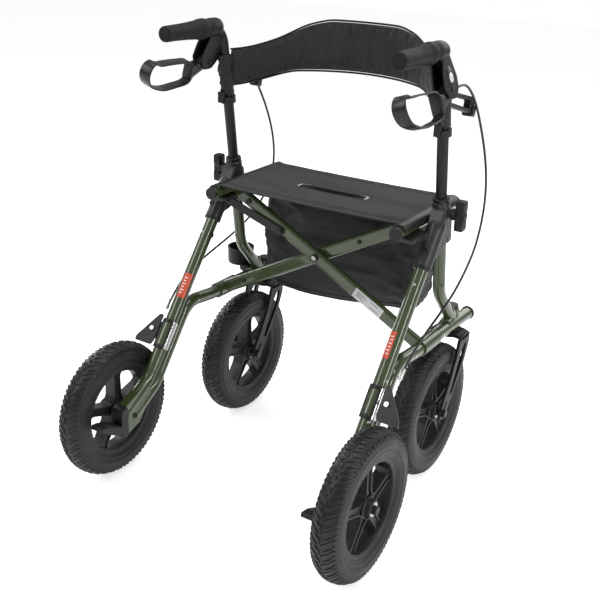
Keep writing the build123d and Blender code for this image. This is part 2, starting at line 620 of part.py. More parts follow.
# ---- folding links, from the housing lugs to the arms ----
def make_link(y_low, y_high, lug_y, side):
    """A flat link on the right; its arm end only has a pin head, clear of the arm."""
    ends = [Vector(*at(x, y_low, z)) for x, z in (LINK_HOUSING, LINK_ARM)]
    run = ends[1] - ends[0]
    middle = (ends[0] + ends[1]) / 2
    with BuildPart() as link:
        with BuildSketch(Plane(origin=middle, x_dir=run, z_dir=(0, 1, 0))):
            SlotOverall(run.length + 18, 18)
        extrude(amount=y_high - y_low)
        add(rod(at(LINK_HOUSING[0], y_low, LINK_HOUSING[1]), at(LINK_HOUSING[0], lug_y, LINK_HOUSING[1]),
                4))
        add(rod(at(LINK_ARM[0], y_low if side > 0 else y_high, LINK_ARM[1]),
                at(LINK_ARM[0], (y_low - 3) if side > 0 else (y_high + 3), LINK_ARM[1]), 6))
    return link.part


right_link = make_link(342.4, 346.4, 354, -1)
left_link = make_link(303.0, 307.0, 295, 1)
save(right_link, "right_fold_link")
save(mirror(left_link, about=Plane.YZ), "left_fold_link")

# ---- seat sling: a flat panel over both seat tubes, with the carry-handle slot ----
SEAT_TOP = SEAT_TUBE_Z + SEAT_TUBE_RADIUS + OPEN_GAP
with BuildPart() as seat_sling:
    with BuildSketch(Plane(origin=at(0, 375, SEAT_TOP))):
        Rectangle(2 * SEAT_TUBE_X, 238)
        with Locations((0, -3)):
            RectangleRounded(156, 20, 6, mode=Mode.SUBTRACT)
    extrude(amount=3)
save(seat_sling.part, "seat_sling")

# ---- back band: bows forward between the posts, taller in the middle ----
BAND_RADIUS, BAND_CENTRE_Y, BAND_THICK = 277.0, 210.0, 5.0
with BuildPart() as back_band:
    with BuildSketch(Plane(origin=at(0, BAND_CENTRE_Y, 780))):
        Circle(BAND_RADIUS + BAND_THICK / 2)
        Circle(BAND_RADIUS - BAND_THICK / 2, mode=Mode.SUBTRACT)
    extrude(amount=170)
    with BuildSketch(Plane(origin=at(0, BAND_CENTRE_Y, 0), x_dir=(1, 0, 0), z_dir=(0, -1, 0))):
        with BuildLine():
            Line((-235, 796), (-235, 878))
            Spline((-235, 878), (-183, 908), (-120, 938), (0, 944), (120, 938), (183, 908), (235, 878))
            Line((235, 878), (235, 796))
            Spline((235, 796), (195, 824), (120, 834), (0, 838), (-120, 834), (-195, 824), (-235, 796))
        make_face()
    extrude(amount=-BAND_RADIUS - BAND_THICK, mode=Mode.INTERSECT)
save(back_band.part, "back_band")

# ---- storage bag under the seat, open at the top ----
BAG_X, BAG_Y, BAG_Z = 205.0, (400.0, 506.0), (328.0, 574.0)
BAG_WALL = 1.6
bag_middle = at(0, sum(BAG_Y) / 2, BAG_Z[0])
with BuildPart() as storage_bag:
    with BuildSketch(Plane(origin=bag_middle)):
        RectangleRounded(2 * BAG_X, BAG_Y[1] - BAG_Y[0], 18)
    extrude(amount=BAG_Z[1] - BAG_Z[0])
    with BuildSketch(Plane(origin=bag_middle).offset(BAG_WALL)):
        RectangleRounded(2 * (BAG_X - BAG_WALL), BAG_Y[1] - BAG_Y[0] - 2 * BAG_WALL, 16)
    extrude(amount=BAG_Z[1] - BAG_Z[0], mode=Mode.SUBTRACT)
save(storage_bag.part, "storage_bag")

# ---- stick cup clipped to the left side tube ----
CUP_X, CUP_Y, CUP_RADIUS = -302.0, 460.0, 32.0
CUP_Z = (352.0, 394.0)
cup_outer = rod(at(CUP_X, CUP_Y, CUP_Z[0]), at(CUP_X, CUP_Y, CUP_Z[1]), CUP_RADIUS)
cup_inner = rod(at(CUP_X, CUP_Y, CUP_Z[0] + 4), at(CUP_X, CUP_Y, CUP_Z[1] + 1), CUP_RADIUS - 2.5)
cup_saddle = block((-292, -272.5), (446, 474), (331, 354))
save(cut(joined(cup_outer, cup_saddle), cup_inner, mirror(side_frame.part, about=Plane.YZ)), "stick_cup")
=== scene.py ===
"""Rollator walker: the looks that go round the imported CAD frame.

Every length in this file is in millimetres unless its name says otherwise, and is
turned into metres by at(), which takes y forward from the rear axle as the part does.
"""
from __future__ import annotations

import json
import logging
import math
from dataclasses import dataclass, field
from enum import Enum
from typing import Callable, Iterable, Sequence

import bmesh
import bpy
from mathutils import Matrix, Vector, noise

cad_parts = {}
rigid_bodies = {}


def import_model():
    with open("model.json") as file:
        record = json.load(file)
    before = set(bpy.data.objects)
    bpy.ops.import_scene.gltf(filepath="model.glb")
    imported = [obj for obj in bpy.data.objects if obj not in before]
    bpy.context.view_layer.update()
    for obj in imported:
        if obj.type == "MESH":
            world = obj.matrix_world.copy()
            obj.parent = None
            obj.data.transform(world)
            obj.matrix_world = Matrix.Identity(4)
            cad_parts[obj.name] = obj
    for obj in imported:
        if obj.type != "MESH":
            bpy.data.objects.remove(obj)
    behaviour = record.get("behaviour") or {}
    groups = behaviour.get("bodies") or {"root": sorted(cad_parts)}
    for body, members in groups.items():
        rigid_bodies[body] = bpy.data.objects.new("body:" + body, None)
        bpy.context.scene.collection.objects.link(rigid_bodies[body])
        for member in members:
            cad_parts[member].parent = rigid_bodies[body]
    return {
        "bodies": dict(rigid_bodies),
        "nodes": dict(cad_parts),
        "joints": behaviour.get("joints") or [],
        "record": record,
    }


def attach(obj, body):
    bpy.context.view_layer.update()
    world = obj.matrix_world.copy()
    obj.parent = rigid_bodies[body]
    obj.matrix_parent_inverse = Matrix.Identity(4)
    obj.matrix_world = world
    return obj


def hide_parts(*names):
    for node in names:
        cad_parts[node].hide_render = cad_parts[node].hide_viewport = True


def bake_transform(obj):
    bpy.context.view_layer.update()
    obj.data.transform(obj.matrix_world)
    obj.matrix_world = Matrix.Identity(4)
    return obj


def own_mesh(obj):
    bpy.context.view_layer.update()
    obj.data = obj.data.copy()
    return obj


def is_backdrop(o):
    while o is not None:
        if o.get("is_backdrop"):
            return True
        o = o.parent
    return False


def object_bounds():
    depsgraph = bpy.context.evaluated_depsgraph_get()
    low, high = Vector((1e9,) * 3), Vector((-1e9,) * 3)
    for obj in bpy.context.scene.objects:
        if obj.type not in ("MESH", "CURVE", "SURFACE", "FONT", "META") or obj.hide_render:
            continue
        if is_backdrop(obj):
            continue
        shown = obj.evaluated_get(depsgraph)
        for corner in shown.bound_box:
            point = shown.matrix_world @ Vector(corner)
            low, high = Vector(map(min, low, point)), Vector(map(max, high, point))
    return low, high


LOG = logging.getLogger("rollator")
MM = 0.001
SMOOTH_LIMIT = math.radians(38)
BUMP_REACH = 0.0004
DUST_COLOUR = (0.32, 0.31, 0.29)
REAR_AXLE_Y = -201.0

X_AXIS, Y_AXIS, Z_AXIS = Vector((1, 0, 0)), Vector((0, 1, 0)), Vector((0, 0, 1))

Colour = tuple[float, float, float]
Point2 = tuple[float, float]
Piece = bpy.types.Object
Tree = bpy.types.NodeTree
Node = bpy.types.Node
Socket = bpy.types.NodeSocket


# ---------------------------------------------------------------- places and small sums
class Side(Enum):
    """The two sides of the walker, with the sign of their x."""

    LEFT = -1
    RIGHT = 1

    @property
    def word(self) -> str:
        """The word that node and body names start with."""
        return self.name.lower()

    def name_of(self, part: str) -> str:
        """A node or body name on this side."""
        return f"{self.word}_{part}"


def at(x: float, y: float, z: float) -> Vector:
    """A point in metres, from millimetres with y forward from the rear axle."""
    return Vector((x, REAR_AXLE_Y + y, z)) * MM


def smoothstep(low: float, high: float, value: float) -> float:
    """A soft step from 0 at low to 1 at high.

    Args:
        low: where the step starts.
        high: where it ends.
        value: the place along it.

    Returns:
        The eased share, from 0 to 1.
    """
    share = min(1.0, max(0.0, (value - low) / (high - low)))
    return share * share * (3 - 2 * share)


@dataclass(frozen=True)
class Axes:
    """A local frame: an origin and two directions across it, with the third normal to both."""

    origin: Vector
    u: Vector
    v: Vector

    @property
    def w(self) -> Vector:
        """The direction out of the plane."""
        return self.u.cross(self.v).normalized()

    def place(self, u: float, v: float, w: float = 0.0) -> Vector:
        """A point in metres from local millimetres."""
        return self.origin + (self.u * u + self.v * v + self.w * w) * MM


# ---------------------------------------------------------------- shader nodes
class Graph:
    """Builds nodes in a tree, one short call each."""

    def __init__(self, tree: Tree) -> None:
        """Keeps the tree.

        Args:
            tree: the node tree to build in.
        """
        self.tree = tree

    def node(self, kind: str, **settings: object) -> Node:
        """Adds a node.

        Args:
            kind: the node's type name.
            **settings: properties set on it.

        Returns:
            The new node.
        """
        made = self.tree.nodes.new(kind)
        for key, value in settings.items():
            setattr(made, key, value)
        return made

    def feed(self, socket: Socket, value: object) -> None:
        """Links a socket to another, or sets its value.

        Args:
            socket: the input.
            value: an output socket, a number or a colour.
        """
        if isinstance(value, Socket):
            self.tree.links.new(value, socket)
        elif isinstance(value, tuple) and len(value) == 3 and len(socket.default_value) == 4:
            socket.default_value = (*value, 1.0)
        else:
            socket.default_value = value

    def math(self, operation: str, first: object, second: object = 0.0,
             clamp: bool = False) -> Socket:
        """A Math node's result."""
        made = self.node("ShaderNodeMath", operation=operation, use_clamp=clamp)
        self.feed(made.inputs[0], first)
        self.feed(made.inputs[1], second)
        return made.outputs[0]

    def remap(self, value: object, low: float, high: float, to_low: float,
              to_high: float) -> Socket:
        """A clamped Map Range node's result."""
        made = self.node("ShaderNodeMapRange")
        for slot, given in zip(made.inputs, (value, low, high, to_low, to_high)):
            self.feed(slot, given)
        return made.outputs[0]

    def mix(self, share: object, first: object, second: object) -> Socket:
        """Two colours mixed."""
        made = self.node("ShaderNodeMix", data_type="RGBA")
        self.feed(made.inputs[0], share)
        self.feed(made.inputs[6], first)
        self.feed(made.inputs[7], second)
        return made.outputs[2]

    def noise(self, place: object, scale: object, detail: float = 3.0,
              rough: float = 0.55) -> Socket:
        """A Noise Texture's value."""
        made = self.node("ShaderNodeTexNoise")
        self.feed(made.inputs["Vector"], place)
        self.feed(made.inputs["Scale"], scale)
        made.inputs["Detail"].default_value = detail
        made.inputs["Roughness"].default_value = rough
        return made.outputs["Fac"]

    def wave(self, place: object, scale: object, direction: str,
             distortion: float = 0.0) -> Socket:
        """A sine band pattern along one direction."""
        made = self.node("ShaderNodeTexWave", wave_type="BANDS", bands_direction=direction)
        self.feed(made.inputs["Vector"], place)
        self.feed(made.inputs["Scale"], scale)
        made.inputs["Distortion"].default_value = distortion
        return made.outputs["Fac"]


class GroupName(Enum):
    """The effects that several finishes share."""

    GRAIN = "fine_grain"
    WEAVE = "plain_weave"
    HANDLING = "handling_marks"


def _group(name: GroupName, inputs: Sequence[tuple[str, str, object]],
           outputs: Sequence[tuple[str, str]]) -> tuple[Tree, Graph, Node, Node]:
    """Starts a shader node group.

    Args:
        name: the group's name.
        inputs: each input's name, socket type and default.
        outputs: each output's name and socket type.

    Returns:
        The tree, its builder, its input node and its output node.
    """
    tree = bpy.data.node_groups.new(name.value, "ShaderNodeTree")
    for label, kind, default in inputs:
        made = tree.interface.new_socket(name=label, in_out="INPUT", socket_type=kind)
        if default is not None:
            made.default_value = default
    for label, kind in outputs:
        tree.interface.new_socket(name=label, in_out="OUTPUT", socket_type=kind)
    graph = Graph(tree)
    return tree, graph, graph.node("NodeGroupInput"), graph.node("NodeGroupOutput")


def build_grain() -> Tree:
    """Moulded or sprayed grain: a fine height and a slow mottle.

    Returns:
        The group.
    """
    tree, graph, given, result = _group(
        GroupName.GRAIN,
        [("Place", "NodeSocketVector", None), ("Scale", "NodeSocketFloat", 900.0)],
        [("Height", "NodeSocketFloat"), ("Mottle", "NodeSocketFloat")])
    fine = graph.noise(given.outputs["Place"], given.outputs["Scale"], 2.0, 0.5)
    coarse = graph.noise(given.outputs["Place"], graph.math("MULTIPLY", given.outputs["Scale"], 0.04), 4.0)
    graph.feed(result.inputs["Height"], fine)
    graph.feed(result.inputs["Mottle"], graph.remap(coarse, 0.3, 0.7, 0.0, 1.0))
    return tree


def build_weave() -> Tree:
    """Plain woven cloth: crossed threads, each rounded, with uneven yarn, and painted shade in the gaps
    between threads.

    Returns:
        The group.
    """
    tree, graph, given, result = _group(
        GroupName.WEAVE,
        [("Place", "NodeSocketVector", None), ("Threads", "NodeSocketFloat", 160.0)],
        [("Height", "NodeSocketFloat"), ("Gaps", "NodeSocketFloat"), ("Slub", "NodeSocketFloat")])
    warp = graph.wave(given.outputs["Place"], given.outputs["Threads"], "X", 0.4)
    weft = graph.wave(given.outputs["Place"], given.outputs["Threads"], "Y", 0.4)
    woven = graph.math("MAXIMUM", graph.math("MULTIPLY", warp, graph.math("SUBTRACT", 1.0, weft)),
                       graph.math("MULTIPLY", weft, graph.math("SUBTRACT", 1.0, warp)))
    graph.feed(result.inputs["Height"], woven)
    # painted shade: the gaps between threads are darkened as if in shadow
    graph.feed(result.inputs["Gaps"], graph.remap(woven, 0.05, 0.35, 1.0, 0.0))
    slub = graph.noise(given.outputs["Place"], graph.math("MULTIPLY", given.outputs["Threads"], 0.22), 3.0)
    graph.feed(result.inputs["Slub"], graph.remap(slub, 0.35, 0.65, 0.0, 1.0))
    return tree


def build_handling() -> Tree:
    """Slow smears and fine dust from use, as two masks.

    Returns:
        The group.
    """
    tree, graph, given, result = _group(
        GroupName.HANDLING,
        [("Place", "NodeSocketVector", None), ("Scale", "NodeSocketFloat", 14.0)],
        [("Smears", "NodeSocketFloat"), ("Dust", "NodeSocketFloat")])
    slow = graph.noise(given.outputs["Place"], given.outputs["Scale"], 5.0, 0.62)
    graph.feed(result.inputs["Smears"], graph.remap(slow, 0.35, 0.7, 0.0, 1.0))
    specks = graph.noise(given.outputs["Place"], graph.math("MULTIPLY", given.outputs["Scale"], 45.0), 2.0)
    graph.feed(result.inputs["Dust"], graph.remap(specks, 0.6, 0.72, 0.0, 1.0))
    return tree


GROUP_BUILDERS: dict[GroupName, Callable[[], Tree]] = {
    GroupName.GRAIN: build_grain,
    GroupName.WEAVE: build_weave,
    GroupName.HANDLING: build_handling,
}


class Cloth(Enum):
    """How a finish's threads run, if it is woven."""

    NONE = "none"
    OBJECT = "object"
    SURFACE = "surface"


@dataclass(frozen=True)
class Finish:
    """One finish of the walker, with the numbers that its material takes.

    Lengths here are shader scales in cycles per metre.
    """

    name: str
    colour: Colour
    second: Colour
    rough: float
    rough_spread: float = 0.08
    metal: float = 0.0
    coat: float = 0.0
    coat_rough: float = 0.05
    specular: float = 0.5
    sheen: float = 0.0
    grain: float = 900.0
    grain_height: float = 0.06
    dust: float = 0.0
    cloth: Cloth = Cloth.NONE
    threads: float = 160.0
    stripe: float = 0.0
    stripe_scale: float = 90.0

    def build(self) -> bpy.types.Material:
        """Builds the material.

        Returns:
            The node material.
        """
        material = bpy.data.materials.new(self.name)
        material.use_nodes = True
        graph = Graph(material.node_tree)
        shader = material.node_tree.nodes["Principled BSDF"]
        where = graph.node("ShaderNodeTexCoord")
        place = where.outputs["UV" if self.cloth is Cloth.SURFACE else "Object"]
        handling = self._place_group(graph, GroupName.HANDLING, where.outputs["Object"], "Scale", 14.0)
        grain = self._place_group(graph, GroupName.GRAIN, where.outputs["Object"], "Scale", self.grain)
        tint = graph.math("MULTIPLY", grain.outputs["Mottle"], 0.7)
        height = grain.outputs["Height"]
        shade: object = self.colour
        if self.cloth is not Cloth.NONE:
            weave = self._place_group(graph, GroupName.WEAVE, place, "Threads", self.threads)
            # woven finishes: painted shade in the thread gaps, mixed with the yarn's own uneven slub tone
            tint = graph.math("MAXIMUM", graph.math("MULTIPLY", weave.outputs["Gaps"], 0.8),
                              graph.math("MULTIPLY", weave.outputs["Slub"], 0.55))
            height = weave.outputs["Height"]
        if self.stripe:
            ribs = graph.wave(place, self.stripe_scale, "X")
            tint = graph.mix(self.stripe, tint, ribs)
            height = graph.math("ADD", height, graph.math("MULTIPLY", ribs, 0.8))
        shade = graph.mix(tint, self.colour, self.second)
        if self.dust:
            dusty = graph.math("MULTIPLY", handling.outputs["Dust"], self.dust)
            shade = graph.mix(dusty, shade, DUST_COLOUR)
        graph.feed(shader.inputs["Base Color"], shade)
        rough = graph.remap(handling.outputs["Smears"], 0.0, 1.0, self.rough - self.rough_spread,
                            self.rough + self.rough_spread)
        graph.feed(shader.inputs["Roughness"], rough)
        bump = graph.node("ShaderNodeBump")
        bump.inputs["Strength"].default_value = min(1.0, self.grain_height * 4)
        bump.inputs["Distance"].default_value = BUMP_REACH
        graph.feed(bump.inputs["Height"], height)
        graph.feed(shader.inputs["Normal"], bump.outputs["Normal"])
        shader.inputs["Metallic"].default_value = self.metal
        shader.inputs["Coat Weight"].default_value = self.coat
        shader.inputs["Coat Roughness"].default_value = self.coat_rough
        shader.inputs["Specular IOR Level"].default_value = self.specular
        shader.inputs["Sheen Weight"].default_value = self.sheen
        shader.inputs["Sheen Roughness"].default_value = 0.45
        return material

    @staticmethod
    def _place_group(graph: Graph, name: GroupName, place: object, dial: str,
                     value: float) -> Node:
        """Places a shared group in a material.

        Args:
            graph: the material's builder.
            name: which group.
            place: the coordinates that it reads.
            dial: the name of its size input.
            value: that input's value.

        Returns:
            The group node.
        """
        tree = bpy.data.node_groups.get(name.value) or GROUP_BUILDERS[name]()
        made = graph.node("ShaderNodeGroup", node_tree=tree)
        graph.feed(made.inputs["Place"], place)
        made.inputs[dial].default_value = value
        return made


GREEN_PAINT = Finish("green_paint", (0.036, 0.056, 0.017), (0.044, 0.068, 0.021), 0.24, 0.04, coat=1.0,
                     coat_rough=0.05, specular=0.35, grain=240.0, grain_height=0.006)
CASTING = Finish("satin_casting", (0.022, 0.023, 0.024), (0.032, 0.033, 0.034), 0.4, 0.06, metal=0.2,
                 grain=1500.0, grain_height=0.03)
POST_BLACK = Finish("post_black", (0.006, 0.006, 0.0064), (0.009, 0.009, 0.0094), 0.4, 0.05, specular=0.35,
                    grain=1400.0, grain_height=0.02)
PLASTIC = Finish("black_nylon", (0.009, 0.009, 0.0094), (0.013, 0.013, 0.0134), 0.42, 0.07, specular=0.32,
                 grain=1300.0, grain_height=0.05)
LEVER_BLACK = Finish("lever_black", (0.011, 0.011, 0.0115), (0.016, 0.016, 0.0165), 0.34, 0.06, coat=0.15,
                     coat_rough=0.2, specular=0.34, grain=1300.0, grain_height=0.02)
RIM_PLASTIC = Finish("rim_moulding", (0.018, 0.0184, 0.019), (0.026, 0.0264, 0.027), 0.42, 0.06,
                     specular=0.38, grain=1000.0, grain_height=0.05)
TYRE = Finish("tyre_rubber", (0.0085, 0.0085, 0.0088), (0.013, 0.0128, 0.0126), 0.46, 0.08, grain=700.0,
              grain_height=0.08, dust=0.05, specular=0.42)
GRIP = Finish("grip_rubber", (0.009, 0.0089, 0.0088), (0.013, 0.0128, 0.0126), 0.56, 0.06, specular=0.25,
              grain=1800.0, grain_height=0.12, dust=0.03)
STEEL = Finish("bright_steel", (0.55, 0.54, 0.52), (0.66, 0.65, 0.63), 0.24, 0.08, metal=1.0, grain=1600.0,
               grain_height=0.02)
ALLOY = Finish("sleeve_alloy", (0.6, 0.6, 0.6), (0.72, 0.72, 0.72), 0.26, 0.07, metal=1.0, grain=1200.0,
               grain_height=0.02)
CAP_BLACK = Finish("cap_black", (0.012, 0.012, 0.012), (0.017, 0.017, 0.017), 0.38, 0.06, specular=0.34,
                   grain=1200.0, grain_height=0.03)
SEAT_CLOTH = Finish("seat_weave", (0.02, 0.0197, 0.019), (0.009, 0.0089, 0.0087), 0.8, 0.05, sheen=0.15,
                    specular=0.25, grain_height=0.2, cloth=Cloth.SURFACE, threads=260.0, stripe=0.35,
                    stripe_scale=62.0)
BAND_CLOTH = Finish("band_cloth", (0.0095, 0.0097, 0.0105), (0.006, 0.006, 0.0064), 0.5, 0.06, sheen=0.05,
                    specular=0.42, grain_height=0.12, cloth=Cloth.SURFACE, threads=420.0)
BAG_CLOTH = Finish("bag_nylon", (0.0125, 0.012, 0.0122), (0.007, 0.0068, 0.007), 0.46, 0.07, sheen=0.05,
                   specular=0.45, grain_height=0.1, cloth=Cloth.SURFACE, threads=420.0)
THREAD = Finish("grey_thread", (0.07, 0.07, 0.072), (0.05, 0.05, 0.052), 0.8, 0.03)
STRAP = Finish("black_webbing", (0.012, 0.012, 0.0125), (0.007, 0.007, 0.0072), 0.72, 0.05, sheen=0.1,
               specular=0.28, grain_height=0.16, cloth=Cloth.OBJECT, threads=300.0)
CABLE_JACKET = Finish("cable_jacket", (0.009, 0.009, 0.0092), (0.012, 0.012, 0.012), 0.34, 0.04)
STICKER_RED = Finish("sticker_red", (0.62, 0.075, 0.03), (0.55, 0.06, 0.025), 0.35, 0.04, grain_height=0.0)
STICKER_WHITE = Finish("sticker_white", (0.78, 0.78, 0.77), (0.7, 0.7, 0.69), 0.35, 0.04, grain_height=0.0)
LABEL_SILVER = Finish("label_silver", (0.55, 0.56, 0.57), (0.63, 0.64, 0.65), 0.4, 0.04, metal=0.3,
                      grain_height=0.0)
PALE_FLOOR = Finish("pale_floor", (0.9, 0.9, 0.9), (0.92, 0.92, 0.92), 0.7, 0.02, grain_height=0.0)


class Paintbox:
    """Builds each finish once and hands it out."""

    def __init__(self) -> None:
        """Starts with no material built."""
        self._built: dict[str, bpy.types.Material] = {}

    def get(self, finish: Finish) -> bpy.types.Material:
        """The finish's material, built on first use.

        Args:
            finish: the finish wanted.

        Returns:
            Its material.
        """
        if finish.name not in self._built:
            self._built[finish.name] = finish.build()
        return self._built[finish.name]


PAINTS = Paintbox()


# ---------------------------------------------------------------- mesh building
def circle(radius: float, count: int, turn: float = 0.0) -> list[Point2]:
    """Points round a circle."""
    return [(radius * math.cos(turn + math.tau * i / count), radius * math.sin(turn + math.tau * i / count))
            for i in range(count)]


def rounded(outline: Sequence[Point2], radius: float | Sequence[float], steps: int = 5) -> list[Point2]:
    """A closed outline with its corners turned into arcs.

    Args:
        outline: the corners, in order.
        radius: the arc's radius, one for all or one for each corner.
        steps: points along each arc, less one.

    Returns:
        The rounded outline.
    """
    result: list[Point2] = []
    count = len(outline)
    radii = [radius] * count if isinstance(radius, (int, float)) else list(radius)
    for index, corner in enumerate(outline):
        here = Vector(corner)
        back, ahead = Vector(outline[index - 1]) - here, Vector(outline[(index + 1) % count]) - here
        half = back.angle(ahead) / 2
        reach = min(radii[index] / max(math.tan(half), 1e-6), 0.48 * back.length, 0.48 * ahead.length)
        if reach < 1e-6 or half > 1.55:
            result.append((here.x, here.y))
            continue
        start, end = here + back.normalized() * reach, here + ahead.normalized() * reach
        for step in range(steps + 1):
            share = step / steps
            spot = start * (1 - share) ** 2 + here * 2 * share * (1 - share) + end * share ** 2
            result.append((spot.x, spot.y))
    return result


def strip(half_wide: float, half_high: float, radius: float, steps: int) -> list[Point2]:
    """A rectangle about its middle with rounded corners."""
    return rounded([(-half_wide, -half_high), (half_wide, -half_high), (half_wide, half_high),
                    (-half_wide, half_high)], radius, steps)


def resample(outline: Sequence[Point2], count: int, first_toward: Point2) -> list[Point2]:
    """A closed outline as evenly spaced points, from the one furthest along a direction.

    Args:
        outline: the closed outline.
        count: how many points to return.
        first_toward: the direction that the first point lies furthest along.

    Returns:
        The points, turning anticlockwise.
    """
    ring = [Vector(point) for point in outline]
    area = sum(a.x * b.y - b.x * a.y for a, b in zip(ring, ring[1:] + ring[:1]))
    if area < 0:
        ring.reverse()
    aim = Vector(first_toward)
    start = max(range(len(ring)), key=lambda i: ring[i].dot(aim))
    ring = ring[start:] + ring[:start]
    runs = [(b - a).length for a, b in zip(ring, ring[1:] + ring[:1])]
    total, result, index, passed = sum(runs), [], 0, 0.0
    for step in range(count):
        goal = total * step / count
        while passed + runs[index] < goal:
            passed += runs[index]
            index += 1
        share = (goal - passed) / max(runs[index], 1e-9)
        spot = ring[index].lerp(ring[(index + 1) % len(ring)], share)
        result.append((spot.x, spot.y))
    return result


def smooth_line(points: Sequence[Vector], steps: int, closed: bool = False) -> list[Vector]:
    """A smooth line through points.

    Args:
        points: the points it passes through.
        steps: points for each stretch.
        closed: whether it joins up.

    Returns:
        The points along it.
    """
    count = len(points)
    result: list[Vector] = []
    for index in range(count if closed else count - 1):
        if closed:
            p0, p1, p2, p3 = (points[(index + k) % count] for k in (-1, 0, 1, 2))
        else:
            p0, p1 = points[max(index - 1, 0)], points[index]
            p2, p3 = points[index + 1], points[min(index + 2, count - 1)]
        for step in range(steps):
            t = step / steps
            result.append(((2 * p1) + (p2 - p0) * t + (2 * p0 - 5 * p1 + 4 * p2 - p3) * t * t
                           + (3 * p1 - p0 - 3 * p2 + p3) * t ** 3) / 2)
    if not closed:
        result.append(points[-1].copy())
    return result


def sections_along(path: Sequence[Vector], outline: Callable[[float], Sequence[Point2]],
                   across: Vector, closed: bool = False) -> list[list[Vector]]:
    """Outlines set square to a path.

    Args:
        path: the points of the path, in metres.
        outline: the outline in millimetres, u along across and v square to it, at each share.
        across: the direction that u keeps to.
        closed: whether the path joins up.

    Returns:
        One ring of points for each point of the path.
    """
    rows = []
    last = len(path) - 1
    for index, spot in enumerate(path):
        if closed:
            run = path[(index + 1) % len(path)] - path[index - 1]
        else:
            run = path[min(index + 1, last)] - path[max(index - 1, 0)]
        run.normalize()
        u = (across - run * across.dot(run)).normalized()
        v = run.cross(u)
        rows.append([spot + (u * a + v * b) * MM for a, b in outline(index / max(last, 1))])
    return rows


